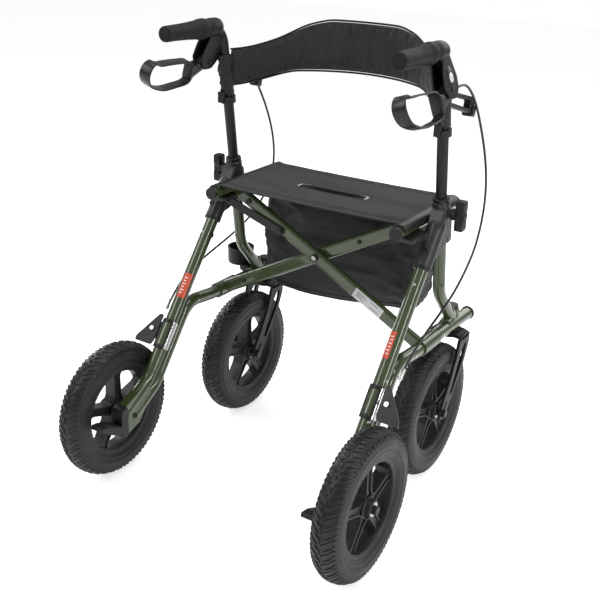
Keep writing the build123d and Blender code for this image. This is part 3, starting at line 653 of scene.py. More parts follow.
class Shape:
    """Points and faces being gathered for one piece."""

    def __init__(self) -> None:
        """Starts empty."""
        self.points: list[Vector] = []
        self.faces: list[tuple[int, ...]] = []
        self.slots: list[int] = []
        self.uvs: dict[int, Point2] = {}

    def skin(self, rows: Sequence[Sequence[Vector]], around: bool = True, along: bool = False,
             caps: bool = True, slot: int = 0) -> Shape:
        """Joins rows of points with quads.

        Args:
            rows: rings or lines of points, equal in count.
            around: whether each row joins up.
            along: whether the last row joins the first.
            caps: whether the end rows are closed.
            slot: the material slot of the faces.

        Returns:
            This shape.
        """
        base, width, height = len(self.points), len(rows[0]), len(rows)
        for row in rows:
            self.points.extend(point.copy() for point in row)
        for r in range(height if along else height - 1):
            for c in range(width if around else width - 1):
                a, b = base + r * width + c, base + r * width + (c + 1) % width
                d, e = (base + ((r + 1) % height) * width + (c + 1) % width,
                        base + ((r + 1) % height) * width + c)
                self._face((a, b, d, e), slot)
        if caps and around and not along:
            self._face(tuple(base + c for c in reversed(range(width))), slot)
            self._face(tuple(base + (height - 1) * width + c for c in range(width)), slot)
        return self

    def _face(self, corners: tuple[int, ...], slot: int) -> None:
        """Keeps one face and its slot."""
        self.faces.append(corners)
        self.slots.append(slot)

    def cloth(self, rows: Sequence[Sequence[Vector]]) -> Shape:
        """A sheet of quads, with its surface distances kept for the weave.

        Args:
            rows: lines of points.

        Returns:
            This shape.
        """
        base, width = len(self.points), len(rows[0])
        self.skin(rows, around=False, caps=False)
        for r, row in enumerate(rows):
            run = 0.0
            climb = sum((rows[k + 1][0] - rows[k][0]).length for k in range(r))
            for c, point in enumerate(row):
                if c:
                    run += (point - row[c - 1]).length
                self.uvs[base + r * width + c] = (run, climb)
        return self

    def revolve(self, profile: Sequence[Point2], centre: Vector, axis: Vector, count: int = 64,
                closed: bool = False, slot: int = 0) -> Shape:
        """Turns a profile of (along, radius) round an axis.

        Args:
            profile: the profile, in millimetres.
            centre: the profile's zero, in metres.
            axis: the axis to turn round.
            count: how many steps make the turn.
            closed: whether the profile joins up.
            slot: the material slot of the faces.

        Returns:
            This shape.
        """
        side = axis.orthogonal().normalized()
        other = axis.cross(side).normalized()
        rows = [[centre + (axis * along + (side * math.cos(a) + other * math.sin(a)) * radius) * MM
                 for a in (math.tau * i / count for i in range(count))] for along, radius in profile]
        return self.skin(rows, along=closed, caps=not closed, slot=slot)

    def rod(self, start: Vector, end: Vector, radius: float, end_radius: float, count: int = 36) -> Shape:
        """A round bar that may taper, from one point to another, with radii in millimetres."""
        axis = end - start
        return self.revolve([(0, radius), (axis.length / MM, end_radius)], start, axis.normalized(), count)

    def plate(self, outline: Sequence[Point2], axes: Axes, low: float, high: float, edge: float = 0.8,
              slot: int = 0) -> Shape:
        """A flat plate with eased edges.

        Args:
            outline: its outline in the axes' plane, in millimetres.
            axes: its plane.
            low: where it starts along the plane's normal.
            high: where it ends.
            edge: how far its edges are eased.
            slot: the material slot of the faces.

        Returns:
            This shape.
        """
        middle = sum((Vector(p) for p in outline), Vector((0, 0))) / len(outline)

        def ring(inset: float, w: float) -> list[Vector]:
            """The outline, drawn in a little."""
            points = []
            for p in outline:
                out = Vector(p) - middle
                shrink = max(0.0, 1 - inset / max(out.length, 1e-6))
                spot = middle + out * shrink
                points.append(axes.place(spot.x, spot.y, w))
            return points

        rows = [ring(edge, low), ring(edge * 0.3, low + edge * 0.3), ring(0, low + edge),
                ring(0, high - edge), ring(edge * 0.3, high - edge * 0.3), ring(edge, high)]
        return self.skin(rows, slot=slot)

    def hollow_plate(self, outer: Sequence[Point2], inner: Sequence[Point2], axes: Axes, low: float,
                     high: float, edge: float = 0.8, count: int = 64, toward: Point2 = (1, 0)) -> Shape:
        """A plate with one hole through it.

        Args:
            outer: its outline, in millimetres.
            inner: the hole's outline.
            axes: its plane.
            low: where it starts along the plane's normal.
            high: where it ends.
            edge: how far its edges are eased.
            count: points round each outline.
            toward: the direction in which the two outlines' first points lie.

        Returns:
            This shape.
        """
        big, small = resample(outer, count, toward), resample(inner, count, toward)

        def ring(share: float, w: float) -> list[Vector]:
            """A ring between the two outlines, a given distance in from the outer."""
            points = []
            for a, b in zip(big, small):
                gap = Vector(b) - Vector(a)
                step = share if share >= 0 else gap.length + share
                spot = Vector(a) + gap.normalized() * step
                points.append(axes.place(spot.x, spot.y, w))
            return points

        rows = [ring(0, low + edge), ring(0, high - edge), ring(edge, high), ring(-edge, high),
                ring(-1e-6, high - edge), ring(-1e-6, low + edge), ring(-edge, low), ring(edge, low)]
        return self.skin(rows, along=True)

    def make(self, name: str, *finishes: Finish, smooth: bool = True, recalc: bool = True) -> Piece:
        """Turns the gathered faces into an object.

        Args:
            name: the piece's name.
            *finishes: one for each material slot.
            smooth: whether its faces are shaded smooth, with sharp edges kept.
            recalc: whether its normals are worked out from a closed surface.

        Returns:
            The object, linked to the scene.
        """
        mesh = bpy.data.meshes.new(name)
        mesh.from_pydata([tuple(point) for point in self.points], [], self.faces)
        mesh.polygons.foreach_set("material_index", self.slots)
        work = bmesh.new()
        work.from_mesh(mesh)
        if self.uvs:
            layer = work.loops.layers.uv.new("surface")
            for face in work.faces:
                for loop in face.loops:
                    loop[layer].uv = self.uvs[loop.vert.index]
        bmesh.ops.remove_doubles(work, verts=work.verts, dist=1e-6)
        if recalc:
            bmesh.ops.recalc_face_normals(work, faces=work.faces)
        work.to_mesh(mesh)
        work.free()
        piece = bpy.data.objects.new(name, mesh)
        bpy.context.scene.collection.objects.link(piece)
        for finish in finishes:
            mesh.materials.append(PAINTS.get(finish))
        if smooth:
            mesh.shade_smooth()
            mesh.set_sharp_from_angle(angle=SMOOTH_LIMIT)
        return piece


def mirrored(piece: Piece, name: str) -> Piece:
    """A copy of a piece on the other side of the walker.

    Args:
        piece: the right-hand piece.
        name: the copy's name.

    Returns:
        The left-hand piece, its faces still outwards.
    """
    mesh = piece.data.copy()
    mesh.name = name
    mesh.transform(Matrix.Scale(-1, 4, (1, 0, 0)))
    mesh.flip_normals()
    copy = bpy.data.objects.new(name, mesh)
    bpy.context.scene.collection.objects.link(copy)
    return copy


def plain(piece: Piece) -> Piece:
    """Applies a piece's modifiers, so that only its mesh is left.

    Args:
        piece: the piece.

    Returns:
        The same object.
    """
    graph = bpy.context.evaluated_depsgraph_get()
    graph.update()
    mesh = bpy.data.meshes.new_from_object(piece.evaluated_get(graph), preserve_all_data_layers=True,
                                           depsgraph=graph)
    old = piece.data
    piece.modifiers.clear()
    piece.data = mesh
    bpy.data.meshes.remove(old)
    return piece


def rounded_over(piece: Piece, levels: int) -> Piece:
    """Adds a Subdivision Surface, the same in view and render."""
    modifier = piece.modifiers.new("round", "SUBSURF")
    modifier.levels = modifier.render_levels = levels
    return piece


def thicken(piece: Piece, thickness: float, offset: float = 0.0) -> Piece:
    """Gives a sheet its thickness, in millimetres."""
    modifier = piece.modifiers.new("thickness", "SOLIDIFY")
    modifier.thickness, modifier.offset = thickness * MM, offset
    return piece


def fused(piece: Piece, voxel: float, passes: int) -> Piece:
    """Melts overlapping solids into one casting with filleted joins.

    Args:
        piece: the overlapping solids as one object.
        voxel: the remesh size in millimetres.
        passes: how many smoothing passes soften it.

    Returns:
        The same object, as a plain mesh.
    """
    remesh = piece.modifiers.new("melt", "REMESH")
    remesh.mode, remesh.voxel_size = "VOXEL", voxel * MM
    soften = piece.modifiers.new("soften", "SMOOTH")
    soften.factor, soften.iterations = 0.6, passes
    plain(piece)
    piece.data.shade_smooth()
    return piece


# ---------------------------------------------------------------- repeated pieces
class Repeat(Enum):
    """The Geometry Nodes trees that repeat a small piece."""

    ROUND_WHEEL = "round_a_wheel"
    ON_SPOTS = "on_marked_spots"


class RepeatTrees:
    """Builds the repeating trees once each."""

    def __init__(self) -> None:
        """Starts with none built."""
        self._built: dict[Repeat, Tree] = {}

    def get(self, which: Repeat) -> Tree:
        """The tree, built on first use."""
        if which not in self._built:
            builder = self._round_wheel if which is Repeat.ROUND_WHEEL else self._on_spots
            self._built[which] = builder()
        return self._built[which]

    @staticmethod
    def _start(which: Repeat, inputs: Sequence[tuple[str, str]]) -> tuple[Tree, Graph]:
        """A tree with a geometry input and output and its named inputs."""
        tree = bpy.data.node_groups.new(which.value, "GeometryNodeTree")
        tree.interface.new_socket(name="Geometry", in_out="INPUT", socket_type="NodeSocketGeometry")
        for label, kind in inputs:
            tree.interface.new_socket(name=label, in_out="INPUT", socket_type=kind)
        tree.interface.new_socket(name="Geometry", in_out="OUTPUT", socket_type="NodeSocketGeometry")
        return tree, Graph(tree)

    def _round_wheel(self) -> Tree:
        """Copies of a piece, turned in equal steps round the X axis of a centre.

        Returns:
            The tree, with inputs Piece, Count, Centre and Finish.
        """
        tree, graph = self._start(Repeat.ROUND_WHEEL, [
            ("Piece", "NodeSocketObject"), ("Count", "NodeSocketInt"), ("Centre", "NodeSocketVector"),
            ("Finish", "NodeSocketMaterial")])
        given, result = graph.node("NodeGroupInput"), graph.node("NodeGroupOutput")
        line = graph.node("GeometryNodeMeshLine")
        graph.feed(line.inputs["Count"], given.outputs["Count"])
        line.inputs["Offset"].default_value = (0, 0, 0)
        info = graph.node("GeometryNodeObjectInfo")
        graph.feed(info.inputs["Object"], given.outputs["Piece"])
        step = graph.math("DIVIDE", math.tau, given.outputs["Count"])
        turn = graph.node("ShaderNodeCombineXYZ")
        index = graph.node("GeometryNodeInputIndex")
        graph.feed(turn.inputs["X"], graph.math("MULTIPLY", index.outputs[0], step))
        copies = graph.node("GeometryNodeInstanceOnPoints")
        graph.feed(copies.inputs["Points"], line.outputs["Mesh"])
        graph.feed(copies.inputs["Instance"], info.outputs["Geometry"])
        graph.feed(copies.inputs["Rotation"], turn.outputs[0])
        move = graph.node("GeometryNodeSetPosition")
        real = graph.node("GeometryNodeRealizeInstances")
        graph.feed(real.inputs["Geometry"], copies.outputs["Instances"])
        graph.feed(move.inputs["Geometry"], real.outputs["Geometry"])
        graph.feed(move.inputs["Offset"], given.outputs["Centre"])
        self._finish(graph, move.outputs["Geometry"], given.outputs["Finish"], result)
        return tree

    def _on_spots(self) -> Tree:
        """Copies of a piece on marked points, each standing along its aim and turned to its run.

        Returns:
            The tree, with inputs Piece and Finish.
        """
        tree, graph = self._start(Repeat.ON_SPOTS, [("Piece", "NodeSocketObject"),
                                                    ("Finish", "NodeSocketMaterial")])
        given, result = graph.node("NodeGroupInput"), graph.node("NodeGroupOutput")
        info = graph.node("GeometryNodeObjectInfo")
        graph.feed(info.inputs["Object"], given.outputs["Piece"])
        aims = []
        for word in ("aim", "run"):
            reader = graph.node("GeometryNodeInputNamedAttribute", data_type="FLOAT_VECTOR")
            reader.inputs["Name"].default_value = word
            aims.append(reader.outputs["Attribute"])
        stand = graph.node("FunctionNodeAlignRotationToVector", axis="Z")
        graph.feed(stand.inputs["Vector"], aims[0])
        twist = graph.node("FunctionNodeAlignRotationToVector", axis="X", pivot_axis="Z")
        graph.feed(twist.inputs["Rotation"], stand.outputs["Rotation"])
        graph.feed(twist.inputs["Vector"], aims[1])
        copies = graph.node("GeometryNodeInstanceOnPoints")
        graph.feed(copies.inputs["Points"], given.outputs["Geometry"])
        graph.feed(copies.inputs["Instance"], info.outputs["Geometry"])
        graph.feed(copies.inputs["Rotation"], twist.outputs["Rotation"])
        real = graph.node("GeometryNodeRealizeInstances")
        graph.feed(real.inputs["Geometry"], copies.outputs["Instances"])
        self._finish(graph, real.outputs["Geometry"], given.outputs["Finish"], result)
        return tree

    @staticmethod
    def _finish(graph: Graph, geometry: Socket, finish: Socket,
                result: Node) -> None:
        """Ends a tree with its material."""
        dress = graph.node("GeometryNodeSetMaterial")
        graph.feed(dress.inputs["Geometry"], geometry)
        graph.feed(dress.inputs["Material"], finish)
        graph.feed(result.inputs["Geometry"], dress.outputs["Geometry"])


TREES = RepeatTrees()


def run_tree(carrier: Piece, which: Repeat, values: dict[str, object]) -> Piece:
    """Runs a repeating tree on an object and keeps its result as a plain mesh.

    Args:
        carrier: the object that carries the tree.
        which: the tree.
        values: the tree's inputs by name.

    Returns:
        The carrier, with the repeated mesh.
    """
    tree = TREES.get(which)
    modifier = carrier.modifiers.new("repeat", "NODES")
    modifier.node_group = tree
    sockets = {item.name: item.identifier for item in tree.interface.items_tree
               if item.item_type == "SOCKET" and item.in_out == "INPUT"}
    for name, value in values.items():
        modifier[sockets[name]] = value
    plain(carrier)
    carrier.data.shade_smooth()
    carrier.data.set_sharp_from_angle(angle=SMOOTH_LIMIT)
    return carrier


def round_wheel(name: str, piece: Piece, count: int, centre: Vector,
                finish: Finish) -> Piece:
    """A piece repeated round a wheel.

    Args:
        name: the new object's name.
        piece: the piece to repeat, made about the origin.
        count: how many.
        centre: the wheel's centre.
        finish: their finish.

    Returns:
        The repeated mesh.
    """
    carrier = bpy.data.objects.new(name, bpy.data.meshes.new(name))
    bpy.context.scene.collection.objects.link(carrier)
    return run_tree(carrier, Repeat.ROUND_WHEEL, {
        "Piece": piece, "Count": count, "Centre": tuple(centre), "Finish": PAINTS.get(finish)})


@dataclass(frozen=True)
class Spot:
    """A place for a repeated piece: where it stands, its up and its run."""

    place: Vector
    aim: Vector
    run: Vector = field(default_factory=lambda: Vector((1, 0, 0)))


def on_spots(name: str, piece: Piece, spots: Sequence[Spot], finish: Finish) -> Piece:
    """A piece repeated on marked places.

    Args:
        name: the new object's name.
        piece: the piece, made standing along Z at the origin.
        spots: the places.
        finish: their finish.

    Returns:
        The repeated mesh.
    """
    mesh = bpy.data.meshes.new(name)
    mesh.from_pydata([tuple(spot.place) for spot in spots], [], [])
    for word in ("aim", "run"):
        layer = mesh.attributes.new(word, "FLOAT_VECTOR", "POINT")
        layer.data.foreach_set("vector", [c for spot in spots for c in getattr(spot, word)])
    carrier = bpy.data.objects.new(name, mesh)
    bpy.context.scene.collection.objects.link(carrier)
    return run_tree(carrier, Repeat.ON_SPOTS, {"Piece": piece, "Finish": PAINTS.get(finish)})


def discard(*pieces: Piece) -> None:
    """Removes helper objects once their copies are made."""
    for piece in pieces:
        bpy.data.objects.remove(piece, do_unlink=True)


def settle(piece: Piece, body: str, replaces: Iterable[str] = ()) -> Piece:
    """Makes a piece ride on its body, and says what it stands for.

    Args:
        piece: the finished piece.
        body: the CAD body that it moves with.
        replaces: the CAD nodes that it stands for.

    Returns:
        The piece.
    """
    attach(piece, body)
    if replaces:
        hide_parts(*replaces)
    LOG.info("%s rides on %s", piece.name, body)
    return piece


PairMaker = tuple[Callable[[], Piece], str, str, list[str]]


def settle_pairs(makers: Sequence[PairMaker]) -> None:
    """Builds right-hand pieces, mirrors each, and sets both riding.

    Args:
        makers: for each piece, its builder, its body, its slot and the CAD nodes it stands
            for, all named without their side.
    """
    for make, body, slot, nodes in makers:
        right = make()
        left = mirrored(right, right.name.replace("right_", "left_"))
        for side, piece in ((Side.RIGHT, right), (Side.LEFT, left)):
            settle(piece, side.name_of(body), [side.name_of(node) for node in nodes])


# ---------------------------------------------------------------- wheels
@dataclass(frozen=True)
class Wheel:
    """One air-tyred wheel: treaded tyre, five-spoke rim and hub, about a centre on its axle."""

    side: Side
    place: str
    centre: Vector
    bead: float = 101.0
    radius: float = 150.0
    window: float = 88.0
    hub: float = 21.0
    half_hub: float = 26.0
    spokes: int = 5
    pitches: int = 40

    def name_of(self, part: str) -> str:
        """A name for one piece of this wheel."""
        return f"{self.side.word}_{self.place}_{part}"

    def build(self) -> None:
        """Builds the wheel's pieces and sets them riding."""
        body = self.name_of("wheel")
        settle(self._carcass(), body, [self.name_of("tyre")])
        settle(self._tread(), body)
        settle(self._rim(), body, [self.name_of("rim")])

    def crown(self, x: float) -> float:
        """The tread's base radius at a distance from the wheel's middle."""
        return self.radius - 2.4 - 9.5 * (abs(x) / 24.0) ** 2.3

    def _carcass(self) -> Piece:
        """The tyre's smooth body, with ringed sidewalls and a rounded crown."""
        half = [(20.0, self.bead), (22.2, 100.6), (23.2, 103.0), (24.6, 104.6), (25.4, 108.0),
                (26.6, 112.5),
                (26.0, 113.4), (26.9, 114.4), (27.4, 120.0), (27.4, 126.5), (26.7, 127.4), (27.1, 128.4),
                (26.2, 133.0), (24.6, 137.2)]
        crown = [(x, self.crown(x)) for x in (22.5, 20.0, 16.0, 12.0, 8.0, 4.0)]
        outer = half + crown
        profile = outer + [(0.0, self.radius - 2.4)] + [(-x, r) for x, r in reversed(outer)]
        inner = [(-18.0, self.bead), (-18.0, 104.0), (18.0, 104.0), (18.0, self.bead)]
        return Shape().revolve(profile + inner, self.centre, X_AXIS, 120, closed=True).make(
            self.name_of("tyre_body"), TYRE)

    def _lug(self, start: float, end: float, lean: float, width: tuple[float, float], rise: float,
             offset: float, sign: int) -> list[list[Vector]]:
        """One raised bar of tread.

        Args:
            start: its inner end, from the wheel's middle.
            end: its outer end.
            lean: how far round the tyre its outer end trails.
            width: its width at each end.
            rise: its height above the base.
            offset: where it starts round the tyre.
            sign: which half of the tread it is on.

        Returns:
            The bar's rings of points, about the origin.
        """
        rows = []
        steps = 7
        for step in range(steps + 1):
            share = step / steps
            x = start + (end - start) * share
            drift = offset + lean * share ** 1.6
            swell = 0.55 + 0.45 * math.sin(math.pi * min(1, share * 1.15 + 0.12))
            half = (width[0] + (width[1] - width[0]) * share) / 2 * swell
            low, high = self.crown(x) - 1.2, self.crown(x) + rise * (0.75 + 0.25 * math.sin(math.pi * share))
            ring = [(drift - half - 0.5, low), (drift + half + 0.5, low), (drift + half, high - 0.5),
                    (drift + half - 0.7, high), (drift - half + 0.7, high), (drift - half, high - 0.5)]
            rows.append([Vector((sign * x, r * math.sin(d / self.radius),
                                 r * math.cos(d / self.radius))) * MM
                         for d, r in ring])
        return rows

    def _tread(self) -> Piece:
        """The leaf-shaped lugs, the wavy middle rib and the shoulder notches."""
        pitch = math.tau * self.radius / self.pitches
        pattern = Shape()
        for sign in (-1, 1):
            shift = 0.0 if sign > 0 else pitch / 2
            bars = [(2.6, 22.8, 15.0, (7.6, 10.0), 2.2, shift),
                    (6.2, 24.0, 12.0, (5.6, 8.2), 2.0, shift + pitch * 0.47),
                    (0.4, 4.6, 5.0, (11.0, 6.0), 2.2, shift - 3.0)]
            for start, end, lean, width, rise, offset in bars:
                pattern.skin(self._lug(start, end, lean, width, rise, offset, sign))
            for offset in (0.15, 0.62):
                pattern.skin(self._shoulder(sign, shift + pitch * (offset + 0.35)))
        unit = pattern.make("tread_unit", TYRE)
        whole = round_wheel(self.name_of("tread"), unit, self.pitches, self.centre, TYRE)
        discard(unit)
        return whole

    def _shoulder(self, sign: int, offset: float) -> list[list[Vector]]:
        """A notch block where the tread meets the sidewall."""
        rows = []
        for share in (0.0, 0.35, 0.7, 1.0):
            r = 141.0 - 13.0 * share
            x = 22.6 + 3.9 * math.sin(share * 1.5)
            drift, half = offset + 3.5 * share, 3.4 - 1.5 * share
            ring = [(drift - half, x - 1.0), (drift + half, x - 1.0), (drift + half * 0.8, x + 1.5 - share),
                    (drift - half * 0.8, x + 1.5 - share)]
            rows.append([Vector((sign * xx, r * math.sin(d / self.radius),
                                 r * math.cos(d / self.radius))) * MM
                         for d, xx in ring])
        return rows

    def _rim(self) -> Piece:
        """The moulded rim: stepped flange, ribbed spokes and a long hub."""
        shape = Shape()
        edge = [(22.0, self.bead), (22.0, 98.4), (20.6, 97.6), (20.6, 92.0), (19.2, 91.0),
                (18.8, self.window + 1.2),
                (16.0, self.window)]
        profile = edge + [(-x, r) for x, r in reversed(edge)]
        shape.revolve(profile, self.centre, X_AXIS, 96, closed=True)
        bore = 14.0
        hub = [(self.half_hub, bore), (self.half_hub, 16.6), (24.8, 18.0), (16.0, 19.6),
               (14.0, self.hub + 1.5)]
        hub_profile = hub + [(-x, r) for x, r in reversed(hub)]
        shape.revolve(hub_profile, self.centre, X_AXIS, 56, closed=True)
        for index in range(self.spokes):
            self._spoke(shape, math.tau * index / self.spokes)
        return shape.make(self.name_of("rim_moulding"), RIM_PLASTIC)

    def _spoke(self, shape: Shape, turn: float) -> None:
        """Adds a spoke with a raised rib down each edge.

        Args:
            shape: the rim being built.
            turn: the spoke's angle from upright.
        """
        out = Vector((0, math.sin(turn), math.cos(turn)))
        across = Vector((0, math.cos(turn), -math.sin(turn)))
        rows = []
        for step in range(15):
            share = step / 14
            r = self.hub - 2 + (self.window + 2.5 - self.hub + 2) * share
            flare = 5.5 * (1 - smoothstep(0, 0.22, share)) + 8.0 * smoothstep(0.8, 1.0, share)
            half = 10.4 - 1.4 * share + flare
            deep, web, rib = 14.5 - 1.5 * share, 10.2, 3.2
            section = [(-half, -deep), (-half + rib, -deep), (-half + rib + 0.8, -web),
                       (half - rib - 0.8, -web),
                       (half - rib, -deep), (half, -deep), (half, deep), (half - rib, deep),
                       (half - rib - 0.8, web), (-half + rib + 0.8, web), (-half + rib, deep),
                       (-half, deep)]
            rows.append([self.centre + (out * r + across * a + Vector((b, 0, 0))) * MM for a, b in section])
        shape.skin(rows)


# ---------------------------------------------------------------- caster forks
@dataclass(frozen=True)
class CasterFork:
    """The swivelling fork: arched crown and two long slotted blades."""

    x: float = 247.0
    swivel_y: float = 485.0
    inner: float = 31.2
    blade: float = 7.0

    def build(self) -> None:
        """Builds both forks."""
        settle_pairs([(self._fork, "caster", "fork_black", ["caster_fork"])])

    def _fork(self) -> Piece:
        """The right-hand fork."""
        shape = Shape()
        blade = rounded([(388, 138), (402, 133), (417, 139), (452, 186), (492, 240), (512, 286), (507, 309),
                         (470, 311), (461, 300), (450, 262), (424, 214), (389, 160)],
                        [9, 12, 9, 60, 70, 46, 24, 10, 40, 60, 60, 12], 9)
        slot = rounded([(430, 186), (440, 183), (486, 252), (496, 284), (488, 290), (470, 268)],
                       [6, 6, 60, 7, 7, 50], 6)
        for low in (self.x - self.inner - self.blade, self.x + self.inner):
            axes = Axes(at(0, 0, 0), Y_AXIS, Z_AXIS)
            shape.hollow_plate(blade, slot, axes, low, low + self.blade, 1.4, 96, (0.55, 0.83))
            ridge = rounded([(399, 143), (407, 143), (424, 168), (417, 173)], 3, 4)
            outer = low if low < self.x else low + self.blade
            shape.plate(ridge, axes, outer - 1.4, outer + 1.4, 0.5)
        shape.skin(self._crown())
        centre = at(self.x, self.swivel_y, 303)
        shape.revolve([(-4, 18), (8, 18), (12.5, 14.5)], centre, Z_AXIS, 40)
        return shape.make("right_fork_body", PLASTIC)

    def _crown(self) -> list[list[Vector]]:
        """The bridge over the tyre, arched from blade to blade."""
        rows = []
        reach = self.inner + self.blade
        for step in range(17):
            across = -reach + 2 * reach * step / 16
            lift = math.sqrt(max(0.0, 1 - (across / (reach + 3)) ** 2))
            top, low = 301.5 + 12.5 * lift, 298.0 + 5.0 * lift
            spots = rounded([(465, low), (465, top), (509, top), (511, low)], 3, 3)
            rows.append([at(self.x + across, y, z) for y, z in spots])
        return rows


# ---------------------------------------------------------------- handle controls
@dataclass(frozen=True)
class Controls:
    """A handle's grip, brake body and loop lever, drawn on the right and mirrored."""

    x: float = 253.0
    bar_z: float = 931.0
    grip_end: float = 132.5
    grip_front: float = 262.0
    tilt: float = 18.0
    band: float = 3.6

    @property
    def axes(self) -> Axes:
        """The plane that the lever swings in: u forward, v up the brake body."""
        tilt = math.radians(self.tilt)
        return Axes(at(self.x, 0, self.bar_z), Y_AXIS,
                    Vector((-math.sin(tilt), 0, math.cos(tilt))))

    def build(self) -> None:
        """Builds both handles' controls."""
        settle_pairs([
            (self._grip, "handle", "grip_rubber", ["grip"]),
            (self._grip_end, "handle", "grip_rubber", []),
            (self._brake_body, "handle", "control_black", ["brake_body"]),
            (self._body_cover, "handle", "control_black", []),
            (self._badge, "handle", "control_black", []),
            (self._lever, "lever", "control_black", ["brake_lever"]),
        ])

    def _grip(self) -> Piece:
        """The soft grip: a palm swell, a thumb rest in front and curved ridges."""
        rows = []
        count = 48
        steps = 60
        for step in range(steps + 1):
            share = step / steps
            y = self.grip_end + (self.grip_front - self.grip_end) * share
            size = 15.8 + 1.6 * smoothstep(0.5, 0.72, share) + 3.2 * smoothstep(0.72, 0.86, share) \
                - 3.6 * smoothstep(0.93, 1.0, share) - 0.9 * (1 - smoothstep(0.0, 0.03, share))
            row = []
            for a, b in circle(1.0, count):
                angle = math.atan2(b, a)
                wing = 1.6 * smoothstep(0.15, 0.6, share) * (1 - smoothstep(0.8, 0.95, share))
                edge = (math.exp(-((angle - 2.2 + 1.5 * share) / 0.16) ** 2) * 0.9
                        * smoothstep(0.05, 0.2, share) * (1 - smoothstep(0.75, 0.9, share)))
                under = wing * max(0.0, -math.sin(angle)) ** 2
                ribs = 0.32 * (math.sin(share * 150) if math.sin(angle) > 0.2 and 0.2 < share < 0.7 else 0.0)
                radius = size + under + edge + ribs * max(0.0, math.sin(angle) - 0.2)
                row.append(at(self.x + radius * math.cos(angle), y, self.bar_z + radius * math.sin(angle)))
            rows.append(row)
        return Shape().skin(rows).make("right_grip_moulding", GRIP)

    def _grip_end(self) -> Piece:
        """The flat disc that closes the grip, with a raised rim."""
        centre = at(self.x, self.grip_end, self.bar_z)
        profile = [(1.0, 13.2), (-1.2, 13.0), (-1.8, 12.2), (-1.6, 11.2), (-0.4, 10.6), (-0.3, 0.5)]
        return Shape().revolve(profile, centre, Y_AXIS, 48).make("right_grip_end", GRIP)

    def _brake_body(self) -> Piece:
        """The clamp round the bar and the arm that carries the lever."""
        shape = Shape()
        centre = at(self.x, 264, self.bar_z)
        shape.revolve([(0, 11.3), (0, 16.4), (2, 18.0), (12, 19.2), (30, 19.0), (37, 17.4), (38.5, 16.0),
                       (38.5, 11.3)],
                      centre, Y_AXIS, 48)
        arm = rounded([(268, 2), (298, 2), (303, -12), (316, -50), (314, -72), (300, -88), (272, -88),
                       (257, -66), (262, -40), (270, -18)], [4, 6, 30, 20, 16, 12, 12, 12, 24, 20], 6)
        shape.plate(arm, self.axes, -13.6, -9.8, 1.4)
        shape.plate(arm, self.axes, 9.8, 13.6, 1.4)
        back = rounded([(284, 0), (300, 0), (305, -14), (317, -52), (315, -72), (302, -86), (294, -84),
                        (303, -66), (304, -50), (290, -14)], [3, 3, 10, 14, 14, 6, 4, 12, 14, 10], 5)
        shape.plate(back, self.axes, -10.6, 10.6, 0.4)
        return fused(shape.make("right_brake_moulding", PLASTIC), 1.3, 4)

    def _body_cover(self) -> Piece:
        """The raised oval cover on the outer face, and the pivot's screw head."""
        shape = Shape()
        oval = rounded([(272, -34), (288, -26), (301, -40), (303, -64), (288, -76), (272, -64)], 14, 6)
        shape.plate(oval, self.axes, 12.4, 14.2, 1.0)
        pivot = self.axes.place(286, -70, 0)
        for sign in (-1, 1):
            shape.revolve([(sign * 13.0, 5.4), (sign * 15.2, 5.2), (sign * 15.8, 4.2), (sign * 15.0, 3.0),
                           (sign * 14.4, 2.4), (sign * 14.4, 0.3)], pivot, self.axes.w, 24)
        return shape.make("right_brake_cover", LEVER_BLACK)

    def _badge(self) -> Piece:
        """A plain white oval badge with a grey ring and no lettering."""
        shape = Shape()
        centre = self.axes.place(288, -50, 0)
        for radius, low, high, slot in ((8.2, 14.0, 15.0, 0), (2.2, 14.9, 15.25, 1)):
            disc = [(a * 0.92, b * 1.1) for a, b in circle(radius, 36)]
            place = Axes(centre, self.axes.u, self.axes.v)
            offset = 0 if slot == 0 else -1.5
            shape.plate([(a + offset, b) for a, b in disc], place, low, high, 0.4, slot)
        return shape.make("right_brake_badge", STICKER_WHITE, LABEL_SILVER)

    def _lever(self) -> Piece:
        """The closed loop of flat band, and the tongue that pivots in the body."""
        loop = [(100, -80), (104, -64), (116, -56.5), (134, -62), (160, -62.5), (196, -64), (226, -67),
                (238, -78), (242, -100), (232, -113.5), (198, -117), (160, -118), (124, -108), (108, -97)]
        path = smooth_line([self.axes.place(y, v) for y, v in loop], 7, closed=True)

        def band(share: float) -> list[Point2]:
            """The band's section, wider where the fingers pull."""
            wide = 11.2 + 2.6 * math.exp(-(share / 0.13) ** 2) + 2.6 * math.exp(-((share - 1.0) / 0.13) ** 2)
            return strip(wide, self.band / 2, 1.5, 3)

        shape = Shape().skin(sections_along(path, band, self.axes.w, closed=True), along=True)
        tongue = rounded([(236, -76), (262, -72), (278, -58), (294, -58), (299, -70), (292, -82),
                          (264, -95),
                          (238, -108)], [3, 14, 10, 8, 8, 8, 12, 3], 5)
        shape.plate(tongue, self.axes, -9.0, 9.0, 1.6)
        wings = rounded([(233, -72), (246, -74), (258, -80), (257, -92), (246, -100), (236, -112)],
                        [3, 8, 4, 4, 8, 3], 4)
        shape.plate(wings, self.axes, -11.6, 11.6, 2.4)
        return shape.make("right_lever_loop", LEVER_BLACK)


